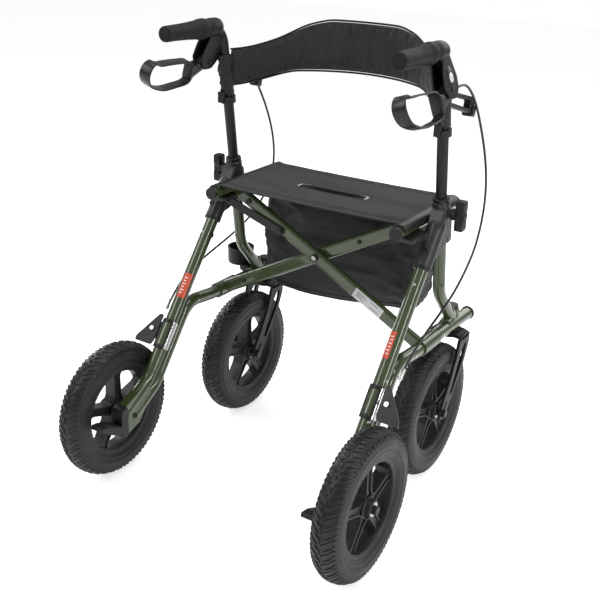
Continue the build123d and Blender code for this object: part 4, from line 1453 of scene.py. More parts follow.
# ---------------------------------------------------------------- side frames and their fittings
@dataclass(frozen=True)
class SideFrame:
    """The painted side frame's castings, knob, bracket, stickers, pedal and screws."""

    leg_x: float = 257.0
    post_x: float = 253.0
    leg_top: Point2 = (304.0, 537.0)
    leg_bend: Point2 = (58.0, 212.0)
    side_z: float = 336.5

    def post_y(self, z: float) -> float:
        """The y of the handle post at a height."""
        return 361.5 - 0.1502 * (z - 633.0)

    def post(self, z: float, x: float | None = None) -> Vector:
        """A point on the handle post's axis."""
        return at(self.post_x if x is None else x, self.post_y(z), z)

    @property
    def leg_run(self) -> Vector:
        """The direction up the leg."""
        run = Vector((0, self.leg_top[0] - self.leg_bend[0], self.leg_top[1] - self.leg_bend[1]))
        return run.normalized()

    @property
    def leg_out(self) -> Vector:
        """The direction square to the leg, rearwards and up."""
        return self.leg_run.cross(Vector((-1, 0, 0))).normalized()

    def leg(self, z: float, turn: float = 0.0, out: float = 0.0) -> Vector:
        """A point near the leg.

        Args:
            z: the height on the leg's axis.
            turn: the angle round the leg from its rear face towards +X, in degrees.
            out: the distance from the leg's axis.

        Returns:
            The point in metres.
        """
        share = (self.leg_top[1] - z) / (self.leg_top[1] - self.leg_bend[1])
        y = self.leg_top[0] - share * (self.leg_top[0] - self.leg_bend[0])
        angle = math.radians(turn)
        aim = self.leg_out * math.cos(angle) + X_AXIS * math.sin(angle)
        return at(self.leg_x, y, z) + aim * out * MM

    def build(self) -> None:
        """Builds both side frames' pieces."""
        settle_pairs([
            (self._housing, "frame", "cast_grey", ["joint_housing"]),
            # a black plate on the housing's front edge, as painted shade
            (self._edge_plate, "frame", "cap_black", []),
            (self._knob, "knob", "control_black", ["height_knob"]),
            (self._window, "frame", "cap_black", []),
            (self._window_paint, "frame", "frame_paint", []),
            (self._sticker, "frame", "frame_paint", []),
            (self._pedal_ribs, "frame", "cap_black", []),
            (self._barrel, "frame", "chrome_bolt", []),
            (self._saddle, "frame", "frame_paint", []),
            (self._collar_rings, "frame", "control_black", []),
            (self._screws, "frame", "chrome_bolt", ["frame_fasteners"]),
            (self._rivets, "frame", "chrome_bolt", []),
        ])

    def _housing(self) -> Piece:
        """The casting that takes the leg, the down tube and the handle post."""
        shape = Shape()
        shape.rod(self.post(552), self.post(634), 18.6, 18.0)
        shape.rod(self.post(616), self.post(639), 17.2, 16.4)
        shape.rod(at(self.leg_x, 289, 517.2), at(self.leg_x, 345, 591.0), 18.2, 17.4)
        side = Axes(at(0, 0, 0), Y_AXIS, Z_AXIS)
        web = [(296, 527), (330, 533), (362, 548), (366, 590), (358, 628), (346, 622), (318, 570)]
        shape.plate(web, side, self.leg_x - 17.0, self.leg_x + 15.5, 3.0)
        shape.rod(self.post(612, 258), self.post(612, 276.5), 10.5, 9.0)
        shape.plate([(262, 570), (298, 570), (330, 566), (330, 579), (262, 579)], side, 209, 249, 1.5)
        casting = fused(shape.make("right_housing_casting", CASTING), 1.5, 7)
        return casting

    def _edge_plate(self) -> Piece:
        """A black plate down the casting's front edge, standing for the shade that falls on that face:
        painted shade.
        """
        side = Axes(at(0, 0, 0), Y_AXIS, Z_AXIS)
        outline = rounded([(372, 546), (390, 548), (386, 592), (379, 622), (366, 622), (372, 590)],
                          [4, 6, 30, 6, 4, 20], 5)
        return Shape().plate(outline, side, 238.0, 270.0, 3.0).make("right_edge_plate", CAP_BLACK)

    def _knob(self) -> Piece:
        """The wing knob that clamps the post's height."""
        centre = self.post(612, 0)
        axes = Axes(centre, Y_AXIS, Z_AXIS)
        shape = Shape()
        wing = rounded([(-11, -31), (10, -31), (11, -12), (8, 0), (11, 12), (10, 31), (-11, 31), (-12, 12),
                        (-8.5, 0), (-12, -12)], [5, 5, 12, 16, 12, 5, 5, 12, 16, 12], 5)
        shape.plate(wing, axes, 287.0, 304.5, 2.6)
        shape.revolve([(264.6, 0.4), (264.6, 4.0), (277.4, 4.0), (277.4, 11.6), (280, 12.2), (287.5, 11.0),
                       (287.5, 0.4)],
                      centre, X_AXIS, 32)
        shape.revolve([(304.0, 8.4), (305.6, 8.0), (306.0, 6.8), (305.3, 6.0), (305.3, 0.4)], centre,
                      X_AXIS, 32)
        return shape.make("right_wing_knob", PLASTIC)

    def _around_leg(self, low: float, high: float, sweep: tuple[float, float], radius: float,
                    rows: int, columns: int) -> list[list[Vector]]:
        """A grid wrapped on the leg between two heights."""
        return [[self.leg(low + (high - low) * r / (rows - 1),
                          sweep[0] + (sweep[1] - sweep[0]) * c / (columns - 1), radius)
                 for c in range(columns)] for r in range(rows)]

    def _window(self) -> Piece:
        """The black frame round the brake sleeve's long window."""
        rows, columns = 26, 22
        grid = self._around_leg(266, 320, (-58, 46), 17.2, rows, columns)
        shape = Shape()
        shape.points = [point for row in grid for point in row]
        for r in range(rows - 1):
            for c in range(columns - 1):
                if 3 <= r < rows - 4 and 4 <= c < columns - 5:
                    continue
                a = r * columns + c
                shape._face((a, a + 1, a + columns + 1, a + columns), 0)
        piece = shape.make("right_window_frame", CAP_BLACK, recalc=False)
        thicken(piece, 2.2)
        rounded_over(piece, 1)
        return plain(piece)

    def _window_paint(self) -> Piece:
        """The painted tube that shows through the window."""
        grid = self._around_leg(270, 316, (-44, 30), 16.9, 12, 14)
        piece = Shape().skin(grid, around=False, caps=False).make("right_window_paint", GREEN_PAINT,
                                                                  recalc=False)
        thicken(piece, 0.6)
        return plain(piece)

    def _sticker(self) -> Piece:
        """The red sticker with a row of white teeth, and no words."""
        rows, columns = 25, 13
        grid = self._around_leg(362, 407, (-66, 12), 14.22, rows, columns)
        shape = Shape()
        shape.points = [point for row in grid for point in row]
        for r in range(rows - 1):
            for c in range(columns - 1):
                tooth = r % 3 == 1 and 1 < r < rows - 3 and (5 if r % 2 else 6) <= c < 10
                a = r * columns + c
                shape._face((a, a + 1, a + columns + 1, a + columns), int(tooth))
        piece = shape.make("right_leg_sticker", STICKER_RED, STICKER_WHITE, recalc=False)
        thicken(piece, 0.18)
        return plain(piece)

    def _pedal_ribs(self) -> Piece:
        """The raised ribs across the kerb pedal."""
        rib = Shape()
        ring = rounded([(-2.2, 0), (2.2, 0), (1.4, 2.6), (-1.4, 2.6)], 0.8, 2)
        rib.skin([[Vector((x, a, b)) * MM for a, b in ring] for x in (-14.5, 14.5)])
        unit = rib.make("pedal_rib", CAP_BLACK)
        run = (at(0, -86, 163) - at(0, -46.3, 144)).normalized()
        aim = X_AXIS.cross(run).normalized()
        aim = aim if aim.z > 0 else -aim
        spots = [Spot(at(self.leg_x, -51 - 6.2 * i, 146.0 + 2.97 * i), aim) for i in range(6)]
        spots += [Spot(at(self.leg_x, -88.5 - 6.4 * i, 163.2 + 1.1 * i), Vector((0, -0.16, 0.99)))
                  for i in range(3)]
        piece = on_spots("right_pedal_ribs", unit, spots, CAP_BLACK)
        discard(unit)
        return piece

    def _barrel(self) -> Piece:
        """The cable's adjuster barrel and its lock nut, above the brake plate."""
        shape = Shape()
        low, high = at(288, 159, 333), at(289.5, 177, 352)
        axis = (high - low).normalized()
        length = (high - low).length / MM
        shape.revolve([(0, 0.4), (0, 3.4), (4, 3.4), (4.2, 4.6), (9, 4.6), (9.2, 3.6), (length - 2, 3.5),
                       (length, 3.0), (length, 0.4)], low, axis, 20)
        return shape.make("right_cable_barrel", STEEL)

    def _saddle(self) -> Piece:
        """The welded saddle between the side tube, the down tube and the caster head."""
        shape = Shape()
        shape.rod(at(256, 432, 340), at(250, 482, 341), 15.2, 16.6)
        shape.rod(at(247, 485, 320), at(247, 485, 362.5), 17.6, 17.6)
        shape.rod(at(253, 466, 352), at(253, 452, 372), 13.6, 13.2)
        return fused(shape.make("right_head_saddle", GREEN_PAINT), 1.5, 5)

    def _collar_rings(self) -> Piece:
        """The split ring on the housing's mouth and the lip where the leg enters."""
        shape = Shape()
        run = (self.post(650) - self.post(640)).normalized()
        shape.revolve([(0, 11.4), (0, 16.4), (1.2, 17.2), (6.5, 17.2), (8.0, 15.8), (8.6, 11.4)],
                      self.post(636.0), run, 40, closed=True)
        shape.revolve([(0, 14.2), (0, 17.6), (1.0, 18.3), (5.2, 18.5), (6.2, 18.2), (6.2, 14.2)],
                      at(self.leg_x, 286.4, 513.8), self.leg_run, 40, closed=True)
        return shape.make("right_collar_rings", PLASTIC)

    def _screw_head(self, name: str, radius: float, height: float) -> Piece:
        """A domed socket screw standing on Z.

        Args:
            name: the helper's name.
            radius: its radius in millimetres.
            height: its height.

        Returns:
            The helper object.
        """
        shape = Shape()
        shape.revolve([(-0.6, radius * 0.96), (height * 0.35, radius), (height * 0.8, radius * 0.82),
                       (height, radius * 0.55), (height * 0.98, radius * 0.46),
                       (height * 0.45, radius * 0.42),
                       (height * 0.42, 0.05)], Vector((0, 0, 0)), Z_AXIS, 18)
        return shape.make(name, STEEL)

    def _screws(self) -> Piece:
        """The housing's bolt and the cable clip's bolt."""
        head = self._screw_head("bolt_head", 6.6, 3.2)
        spots = [Spot(self.leg(541, 16, 18.0), self.leg_out),
                 Spot(self.leg(486, -88, 14.2), Vector((-1, 0, 0))),
                 Spot(at(self.leg_x - 10, 0, 150), Vector((-1, 0, 0))),
                 Spot(at(self.leg_x + 10, 22, 188), X_AXIS)]
        piece = on_spots("right_frame_screws", head, spots, CAP_BLACK)
        discard(head)
        return piece

    def _rivets(self) -> Piece:
        """The small bright rivets along the side tube and the leg."""
        head = self._screw_head("rivet_head", 2.7, 1.5)
        spots = []
        for y, z in ((222, 344), (262, 340), (396, self.side_z), (420, 336)):
            for sign in (-1, 1):
                spots.append(Spot(at(259 + sign * 13.9, y, z), Vector((sign, 0, 0))))
        for z, turn in ((486, 10), (330, 70), (262, 40)):
            spots.append(Spot(self.leg(z, turn, 13.9),
                              (self.leg(z, turn, 20) - self.leg(z, 0, 0)).normalized()))
        piece = on_spots("right_tube_rivets", head, spots, STEEL)
        discard(head)
        return piece


@dataclass(frozen=True)
class PostFittings:
    """Soft sleeves, cable guides and the cup."""

    guide_z: float = 843.0

    def build(self, frame: SideFrame) -> None:
        """Builds the pieces on the posts and on the left side tube.

        Args:
            frame: the side frame whose post line they follow.
        """
        guide = self._guide(frame)
        left_guide = mirrored(guide, "left_guide_loop")
        settle(guide, "right_handle", ["right_cable_guide"])
        settle(left_guide, "left_handle", ["left_cable_guide"])
        sleeve = self._sleeve(frame)
        settle(mirrored(sleeve, "left_post_sleeve"), "left_handle")
        settle(sleeve, "right_handle")
        snaps = self._snaps(frame)
        settle(mirrored(snaps, "left_sleeve_snaps"), "left_handle")
        settle(snaps, "right_handle")
        settle(self._cup(), "left_frame", ["stick_cup"])

    def _guide(self, frame: SideFrame) -> Piece:
        """The long loop that leads the cable forward, with its buckle."""
        run, up = Vector((0, 0.966, -0.259)), Vector((0, 0.259, 0.966))
        middle = frame.post(self.guide_z, 256) + run * 58 * MM
        axes = Axes(middle, run, up)
        shape = Shape()
        outer = rounded([(-73, -15), (73, -17), (73, 16), (-73, 13)], 13, 7)
        inner = rounded([(-58, -6.5), (52, -8.5), (52, 7), (-58, 4.5)], 5.5, 7)
        shape.hollow_plate(outer, inner, axes, -8.0, 8.0, 1.8, 96)
        buckle = rounded([(58, -22), (78, -22), (78, 0), (58, 0)], 4, 4)
        shape.plate(buckle, axes, -10.5, 10.5, 2.0)
        shape.plate(rounded([(61, -19), (75, -19), (75, -3), (61, -3)], 3, 4), axes, 10.2, 11.6, 0.6)
        post_run = (frame.post(850) - frame.post(840)).normalized()
        shape.revolve([(-8, 11.3), (-8, 13.8), (-7, 14.6), (7, 14.6), (8, 13.8), (8, 11.3)],
                      frame.post(self.guide_z), post_run, 40, closed=True)
        return shape.make("right_guide_loop", PLASTIC)

    def _sleeve(self, frame: SideFrame) -> Piece:
        """The fabric sleeve that the backrest band closes round the post."""
        rows = []
        for step in range(26):
            share = step / 25
            z = 788 + 84 * share
            centre = frame.post(z)
            row = []
            for i in range(41):
                angle = math.tau * i / 40
                crease = 0.35 * math.sin(angle * 3 + share * 9) + 0.25 * math.sin(share * 40 + angle * 2)
                edge = 0.6 * (math.exp(-((share - 0.03) / 0.02) ** 2)
                              + math.exp(-((share - 0.97) / 0.02) ** 2))
                tail = 5.0 * max(0.0, math.cos(angle + math.pi / 2)) ** 14
                r = 13.4 + crease + edge + tail
                row.append(centre + Vector((math.cos(angle), math.sin(angle), 0)) * r * MM)
            rows.append(row)
        piece = Shape().cloth(rows).make("right_post_sleeve", BAND_CLOTH, recalc=False)
        thicken(piece, 1.4)
        rounded_over(piece, 1)
        return plain(piece)

    def _snaps(self, frame: SideFrame) -> Piece:
        """The press studs down the sleeve's rear edge."""
        stud = Shape().revolve([(0, 3.6), (1.1, 3.6), (1.8, 2.6), (1.9, 0.05)], Vector((0, 0, 0)),
                               Z_AXIS, 16).make("press_stud", PLASTIC)
        spots = []
        for step in range(5):
            z = 796 + 17 * step
            spots.append(Spot(frame.post(z) + Vector((0.004, -0.0166, 0)),
                              Vector((1, -0.45, 0)).normalized()))
        piece = on_spots("right_sleeve_snaps", stud, spots, LEVER_BLACK)
        discard(stud)
        return piece

    def _cup(self) -> Piece:
        """The stick cup with a rolled rim, clipped to the left side tube."""
        shape = Shape()
        profile = [(0, 0.4), (0, 27.5), (1.6, 30.2), (6, 31.4), (34, 31.7), (38, 32.6), (41, 32.6),
                   (42, 31.4),
                   (41, 30.0), (34, 29.4), (6, 29.0), (4, 27.0), (4, 0.4)]
        shape.revolve(profile, at(-302, 460, 352), Z_AXIS, 60)
        shape.revolve([(-13, 17.0), (-13, 19.0), (-12, 19.8), (12, 19.8), (13, 19.0), (13, 17.0)],
                      at(-256.5, 460, 335.0), Y_AXIS, 44, closed=True)
        side = Axes(at(-283, 460, 344), X_AXIS, Z_AXIS)
        shape.plate(rounded([(-14, -8), (10, -15), (10, 8), (-2, 14), (-16, 14)], 4, 4), side, -12, 12, 2.0)
        return shape.make("stick_cup_moulding", PLASTIC)


@dataclass(frozen=True)
class BrakeCables:
    """The two brake cables, bowing forward between the handles and the brakes."""

    diameter: float = 5.0
    route: tuple[tuple[float, float, float], ...] = (
        (276, 322, 862), (272, 366, 866), (269, 411, 850), (268, 452, 815), (268, 492, 760),
        (269, 525, 702),
        (270, 546, 645), (271, 551, 590), (273, 537, 540), (277, 504, 497), (281, 454, 464),
        (287, 392, 439),
        (291, 322, 419), (292, 254, 399), (291, 204, 375), (288, 168, 342))

    def build(self) -> None:
        """Builds both cables and hides the CAD cables that they stand for."""
        for side in Side:
            cable = self._cable(side)
            side.name_of("frame")
            side.name_of("handle")
            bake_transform(cable)
            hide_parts(side.name_of("brake_cable"))
            LOG.info("%s bends between frame and handle", cable.name)

    def _cable(self, side: Side) -> Piece:
        """One cable as a smooth tube.

        Args:
            side: which side of the walker.

        Returns:
            The cable's mesh.
        """
        curve = bpy.data.curves.new(side.name_of("cable"), "CURVE")
        curve.dimensions = "3D"
        curve.bevel_depth = self.diameter / 2 * MM
        curve.bevel_resolution = 4
        curve.use_fill_caps = True
        spline = curve.splines.new("NURBS")
        spline.points.add(len(self.route) - 1)
        for point, (x, y, z) in zip(spline.points, self.route):
            point.co = (*at(side.value * x, y, z), 1.0)
        spline.order_u = 3
        spline.use_endpoint_u = True
        spline.resolution_u = 10
        line = bpy.data.objects.new(side.name_of("cable_line"), curve)
        bpy.context.scene.collection.objects.link(line)
        graph = bpy.context.evaluated_depsgraph_get()
        mesh = bpy.data.meshes.new_from_object(line.evaluated_get(graph), depsgraph=graph)
        discard(line)
        mesh.materials.clear()
        mesh.materials.append(PAINTS.get(CABLE_JACKET))
        mesh.shade_smooth()
        cable = bpy.data.objects.new(side.name_of("cable"), mesh)
        bpy.context.scene.collection.objects.link(cable)
        return cable


# ---------------------------------------------------------------- soft goods
def crease(x: float, y: float, z: float, scale: float) -> float:
    """A repeatable soft noise for folds and wrinkles, from -1 to 1."""
    return noise.fractal(Vector((x, y, z)) * scale, 1.0, 2.1, 3)


@dataclass(frozen=True)
class Seat:
    """The woven sling between the seat tubes, its hems, carry strap and side rails."""

    tube_x: float = 220.5
    tube_z: float = 592.5
    tube_radius: float = 12.7
    rear_y: float = 256.0
    front_y: float = 494.0
    slot_y: float = 372.0
    slot_half: float = 78.0
    thickness: float = 2.6

    def build(self) -> None:
        """Builds the sling and what is sewn to it."""
        sling = self._sling()
        self._bend(sling)
        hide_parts("seat_sling")
        for piece in (self._hem_seams(), self._slot_strap(), self._bar_tacks()):
            self._bend(piece)
        rail = self._rail()
        settle(mirrored(rail, "left_seat_rail"), "arm_b")
        settle(rail, "arm_a")

    def _bend(self, piece: Piece) -> None:
        """Bakes a piece's transform into its mesh."""
        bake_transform(piece)
        LOG.info("%s bends between the two arms", piece.name)

    def _flat_width(self) -> float:
        """The sling's cut width: across the gap and part way round both tubes."""
        return 2 * self.tube_x + 2 * math.radians(62) * (self.tube_radius + 1.9)

    def surface(self, x: float, y: float, lift: float = 0.0) -> Vector:
        """A point on the sling.

        Args:
            x: the distance across, measured flat.
            y: forward from the rear axle.
            lift: how far above the cloth.

        Returns:
            The point in metres.
        """
        flat = min(abs(x), self.tube_x)
        sag = 3.6 * (1 - (flat / self.tube_x) ** 2) * (0.6 + 0.4 * math.sin(math.pi * (y - self.rear_y)
                                                                       / (self.front_y - self.rear_y)))
        ripple = 0.45 * crease(x, y * 0.3, 3.0, 0.02) * (1 - (flat / self.tube_x) ** 4)
        radius = self.tube_radius + 1.9 + lift
        over = max(0.0, abs(x) - self.tube_x) / (self.tube_radius + 1.9)
        sign = 1 if x >= 0 else -1
        px = sign * (flat + radius * math.sin(over))
        pz = self.tube_z + radius * math.cos(over)
        return at(px, y, pz - sag + ripple)

    def _sling(self) -> Piece:
        """The cloth itself, with its hand slot cut out."""
        half = self._flat_width() / 2
        xs = sorted(set([-half + 2 * half * i / 64 for i in range(65)] + [-self.slot_half, self.slot_half]))
        ys = sorted(set([self.rear_y + (self.front_y - self.rear_y) * i / 34 for i in range(35)]
                        + [self.slot_y - 8.0, self.slot_y + 8.0]))
        rows = [[self.surface(x, y) for x in xs] for y in ys]
        shape = Shape().cloth(rows)
        width = len(xs)
        keep, slots = [], []
        for index, face in enumerate(shape.faces):
            row, column = divmod(index, width - 1)
            x, y = (xs[column] + xs[column + 1]) / 2, (ys[row] + ys[row + 1]) / 2
            if abs(x) < self.slot_half and abs(y - self.slot_y) < 8.0:
                continue
            keep.append(face)
            slots.append(0)
        shape.faces, shape.slots = keep, slots
        piece = shape.make("seat_cloth", SEAT_CLOTH, recalc=False)
        thicken(piece, self.thickness)
        return plain(piece)

    def _hem_seams(self) -> Piece:
        """The folded hems at both edges, each a low roll, with their stitches."""
        half = self._flat_width() / 2 - 1
        shape = Shape()
        for y, wide in ((self.rear_y + 1.2, 2.6), (self.front_y - 1.2, 2.6), (self.rear_y + 17, 0.9),
                        (self.front_y - 17, 0.9), (self.rear_y + 28, 0.6)):
            path = [self.surface(-half + 2 * half * i / 70, y, 1.2) for i in range(71)]
            shape.skin(sections_along(path, lambda _share,
                                      w=wide: [(a * 0.8, b * w) for a, b in circle(1.0, 8)],
                                      Z_AXIS))
        return shape.make("seat_hems", SEAT_CLOTH)

    def _slot_strap(self) -> Piece:
        """The carry strap that lies in the slot, and the slot's bound edge."""
        shape = Shape()
        path = [at(-self.slot_half - 10 + (2 * self.slot_half + 20) * i / 30, self.slot_y,
                   604.6 - 5.5 * math.sin(math.pi * i / 30)) for i in range(31)]
        shape.skin(sections_along(path, lambda _share: strip(6.6, 0.9, 0.7, 2), Y_AXIS))
        border = rounded([(-self.slot_half - 1, -9), (self.slot_half + 1, -9), (self.slot_half + 1, 9),
                          (-self.slot_half - 1, 9)], 5, 5)
        ring = [self.surface(x, self.slot_y + y, 1.3) for x, y in border]
        shape.skin(sections_along(ring, lambda _share: [(a * 1.2, b * 1.2) for a, b in circle(1.0, 8)],
                                  Z_AXIS, closed=True), along=True)
        return shape.make("seat_carry_strap", STRAP)

    def _bar_tacks(self) -> Piece:
        """The pale bar tacks sewn at the slot's ends."""
        stitch = Shape()
        path = [Vector((-2.6 + 5.2 * i / 6, 0, 0.9 * math.sin(math.pi * i / 6))) * MM for i in range(7)]
        stitch.skin(sections_along(path, lambda _share: circle(0.55, 6), Y_AXIS))
        unit = stitch.make("tack_stitch", LABEL_SILVER)
        spots = []
        for sign in (-1, 1):
            for i in range(7):
                spots.append(Spot(self.surface(sign * (self.slot_half + 4.2), self.slot_y - 7.5 + 2.5 * i,
                                               1.5),
                                  Z_AXIS))
            for i in range(4):
                spots.append(Spot(self.surface(sign * (self.slot_half - 1 - 4.5 * i), self.slot_y + 9.6,
                                               1.5),
                                  Z_AXIS))
        piece = on_spots("seat_bar_tacks", unit, spots, LABEL_SILVER)
        discard(unit)
        return piece

    def _rail(self) -> Piece:
        """The black rail that grips the sling's edge along the right tube."""
        rows = []
        for y in (246.5, 248.0, 252.0, 340, 420, 496.0, 499.0, 500.5):
            shrink = 0.9 if y in (246.5, 500.5) else 0.0
            ring = []
            for i in range(13):
                angle = math.radians(-48 + 130 * i / 12)
                r = self.tube_radius + 4.4 - shrink
                ring.append(at(self.tube_x + r * math.sin(angle), y, self.tube_z + r * math.cos(angle)))
            for i in range(12, -1, -1):
                angle = math.radians(-44 + 122 * i / 12)
                r = self.tube_radius + 0.3
                ring.append(at(self.tube_x + r * math.sin(angle), y, self.tube_z + r * math.cos(angle)))
            rows.append(ring)
        return Shape().skin(rows).make("right_seat_rail", CAP_BLACK)


@dataclass(frozen=True)
class BackBand:
    """The padded backrest band: gathered cloth between two piped edges."""

    radius: float = 277.0
    centre_y: float = 210.0
    end_x: float = 251.0
    pad: float = 5.5
    columns: int = 150

    def build(self) -> None:
        """Builds the band and its piping."""
        band = self._band()
        pieces = [(band, ["back_band"]), (self._piping(), []), (self._stitches(), [])]
        for piece, nodes in pieces:
            settle(piece, "left_handle", nodes)
            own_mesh(piece)

    def edges(self, x: float) -> tuple[float, float]:
        """The band's lower and upper edge at a distance from its middle."""
        far = abs(x)
        top = 943.0 - 24.0 * smoothstep(70, 185, far) - 37.0 * smoothstep(120, 245, far)
        low = 838.0 - 6.0 * (far / 200.0) ** 2 - 22.0 * smoothstep(140, 245, far)
        return low, top

    def point(self, share: float, height: float, out: float) -> Vector:
        """A point on the band.

        Args:
            share: from 0 at the left end to 1 at the right.
            height: from 0 at the lower edge to 1 at the upper.
            out: the distance forward of the band's middle surface.

        Returns:
            The point in metres.
        """
        limit = math.asin(self.end_x / (self.radius + 6))
        angle = -limit + 2 * limit * share
        r = self.radius + out
        x = r * math.sin(angle)
        low, top = self.edges(x)
        return at(x, self.centre_y + r * math.cos(angle), low + (top - low) * height)

    def gather(self, share: float, height: float) -> float:
        """How far the gathered cloth stands out, in millimetres."""
        drift = 0.035 * crease(share * 6, height * 1.2, 5.0, 1.0)
        folds = 0.55 * math.sin(math.tau * (share + drift) * 31) + 0.45 * math.sin(
            math.tau * (share + drift * 2.2) * 19 + 2 * height)
        fade = smoothstep(0.04, 0.16, height) * (1 - smoothstep(0.86, 0.97, height))
        middle = 0.35 + 0.65 * (abs(height - 0.5) * 2) ** 1.2
        zone = 0.45 + 0.55 * smoothstep(0.1, 0.32, share) * (1 - smoothstep(0.68, 0.9, share))
        return 3.6 * folds * fade * middle * zone

    def _band(self) -> Piece:
        """The padded body as a closed form."""
        count = 22
        rows = []
        for column in range(self.columns + 1):
            share = column / self.columns
            ring = []
            for i in range(count * 2):
                front = i < count
                height = (i + 0.5) / count if front else 1 - (i - count + 0.5) / count
                full = math.sin(math.pi * min(1, max(0, height))) ** 0.35
                hem = 1 - 0.55 * (math.exp(-((height - 0.1) / 0.022) ** 2)
                                  + math.exp(-((height - 0.9) / 0.022) ** 2))
                plump = self.pad * full * hem + 0.6
                ends = smoothstep(0, 0.015, share) * (1 - smoothstep(0.985, 1, share))
                plump = 1.2 + (plump - 1.2) * ends
                out = (plump if front else -plump) + self.gather(share,
                                                                 height) * ends * (0.7 if front else 1.0)
                ring.append(self.point(share, height, out))
            rows.append(ring)
        shape = Shape().skin(rows)
        length = 2 * self.radius * math.asin(self.end_x / self.radius) * MM
        for column in range(self.columns + 1):
            for i in range(count * 2):
                height = (i + 0.5) / count if i < count else 1 - (i - count + 0.5) / count
                shape.uvs[column * count * 2 + i] = (length * column / self.columns, 0.1 * height)
        piece = shape.make("backrest_band", BAND_CLOTH)
        rounded_over(piece, 1)
        return plain(piece)

    def _piping(self) -> Piece:
        """The corded piping round the band's edge."""
        shape = Shape()
        for height in (-0.004, 1.004):
            path = [self.point(i / 90, height, 0.0) for i in range(91)]
            shape.skin(sections_along(path, lambda _share: circle(2.1, 10), Y_AXIS))
        return shape.make("backrest_piping", STRAP)

    def _stitches(self) -> Piece:
        """The seam lines inside the piping, on both faces."""
        stitch = Shape()
        path = [Vector((-1.7 + 3.4 * i / 4, 0, 0.35 * math.sin(math.pi * i / 4))) * MM for i in range(5)]
        stitch.skin(sections_along(path, lambda _share: circle(0.32, 5), Y_AXIS))
        unit = stitch.make("band_stitch", THREAD)
        spots = []
        for height in (0.1, 0.9):
            for face in (-1, 1):
                for i in range(118):
                    share = 0.015 + 0.97 * i / 117
                    out = face * (0.6 + self.pad * math.sin(math.pi * height) ** 0.35 * 0.45 + 0.5)
                    here = self.point(share, height, out)
                    run = self.point(share + 0.002, height, out) - here
                    aim = (self.point(share, height, out + face) - here).normalized()
                    spots.append(Spot(here, aim, run.normalized()))
        piece = on_spots("backrest_stitches", unit, spots, THREAD)
        discard(unit)
        return piece


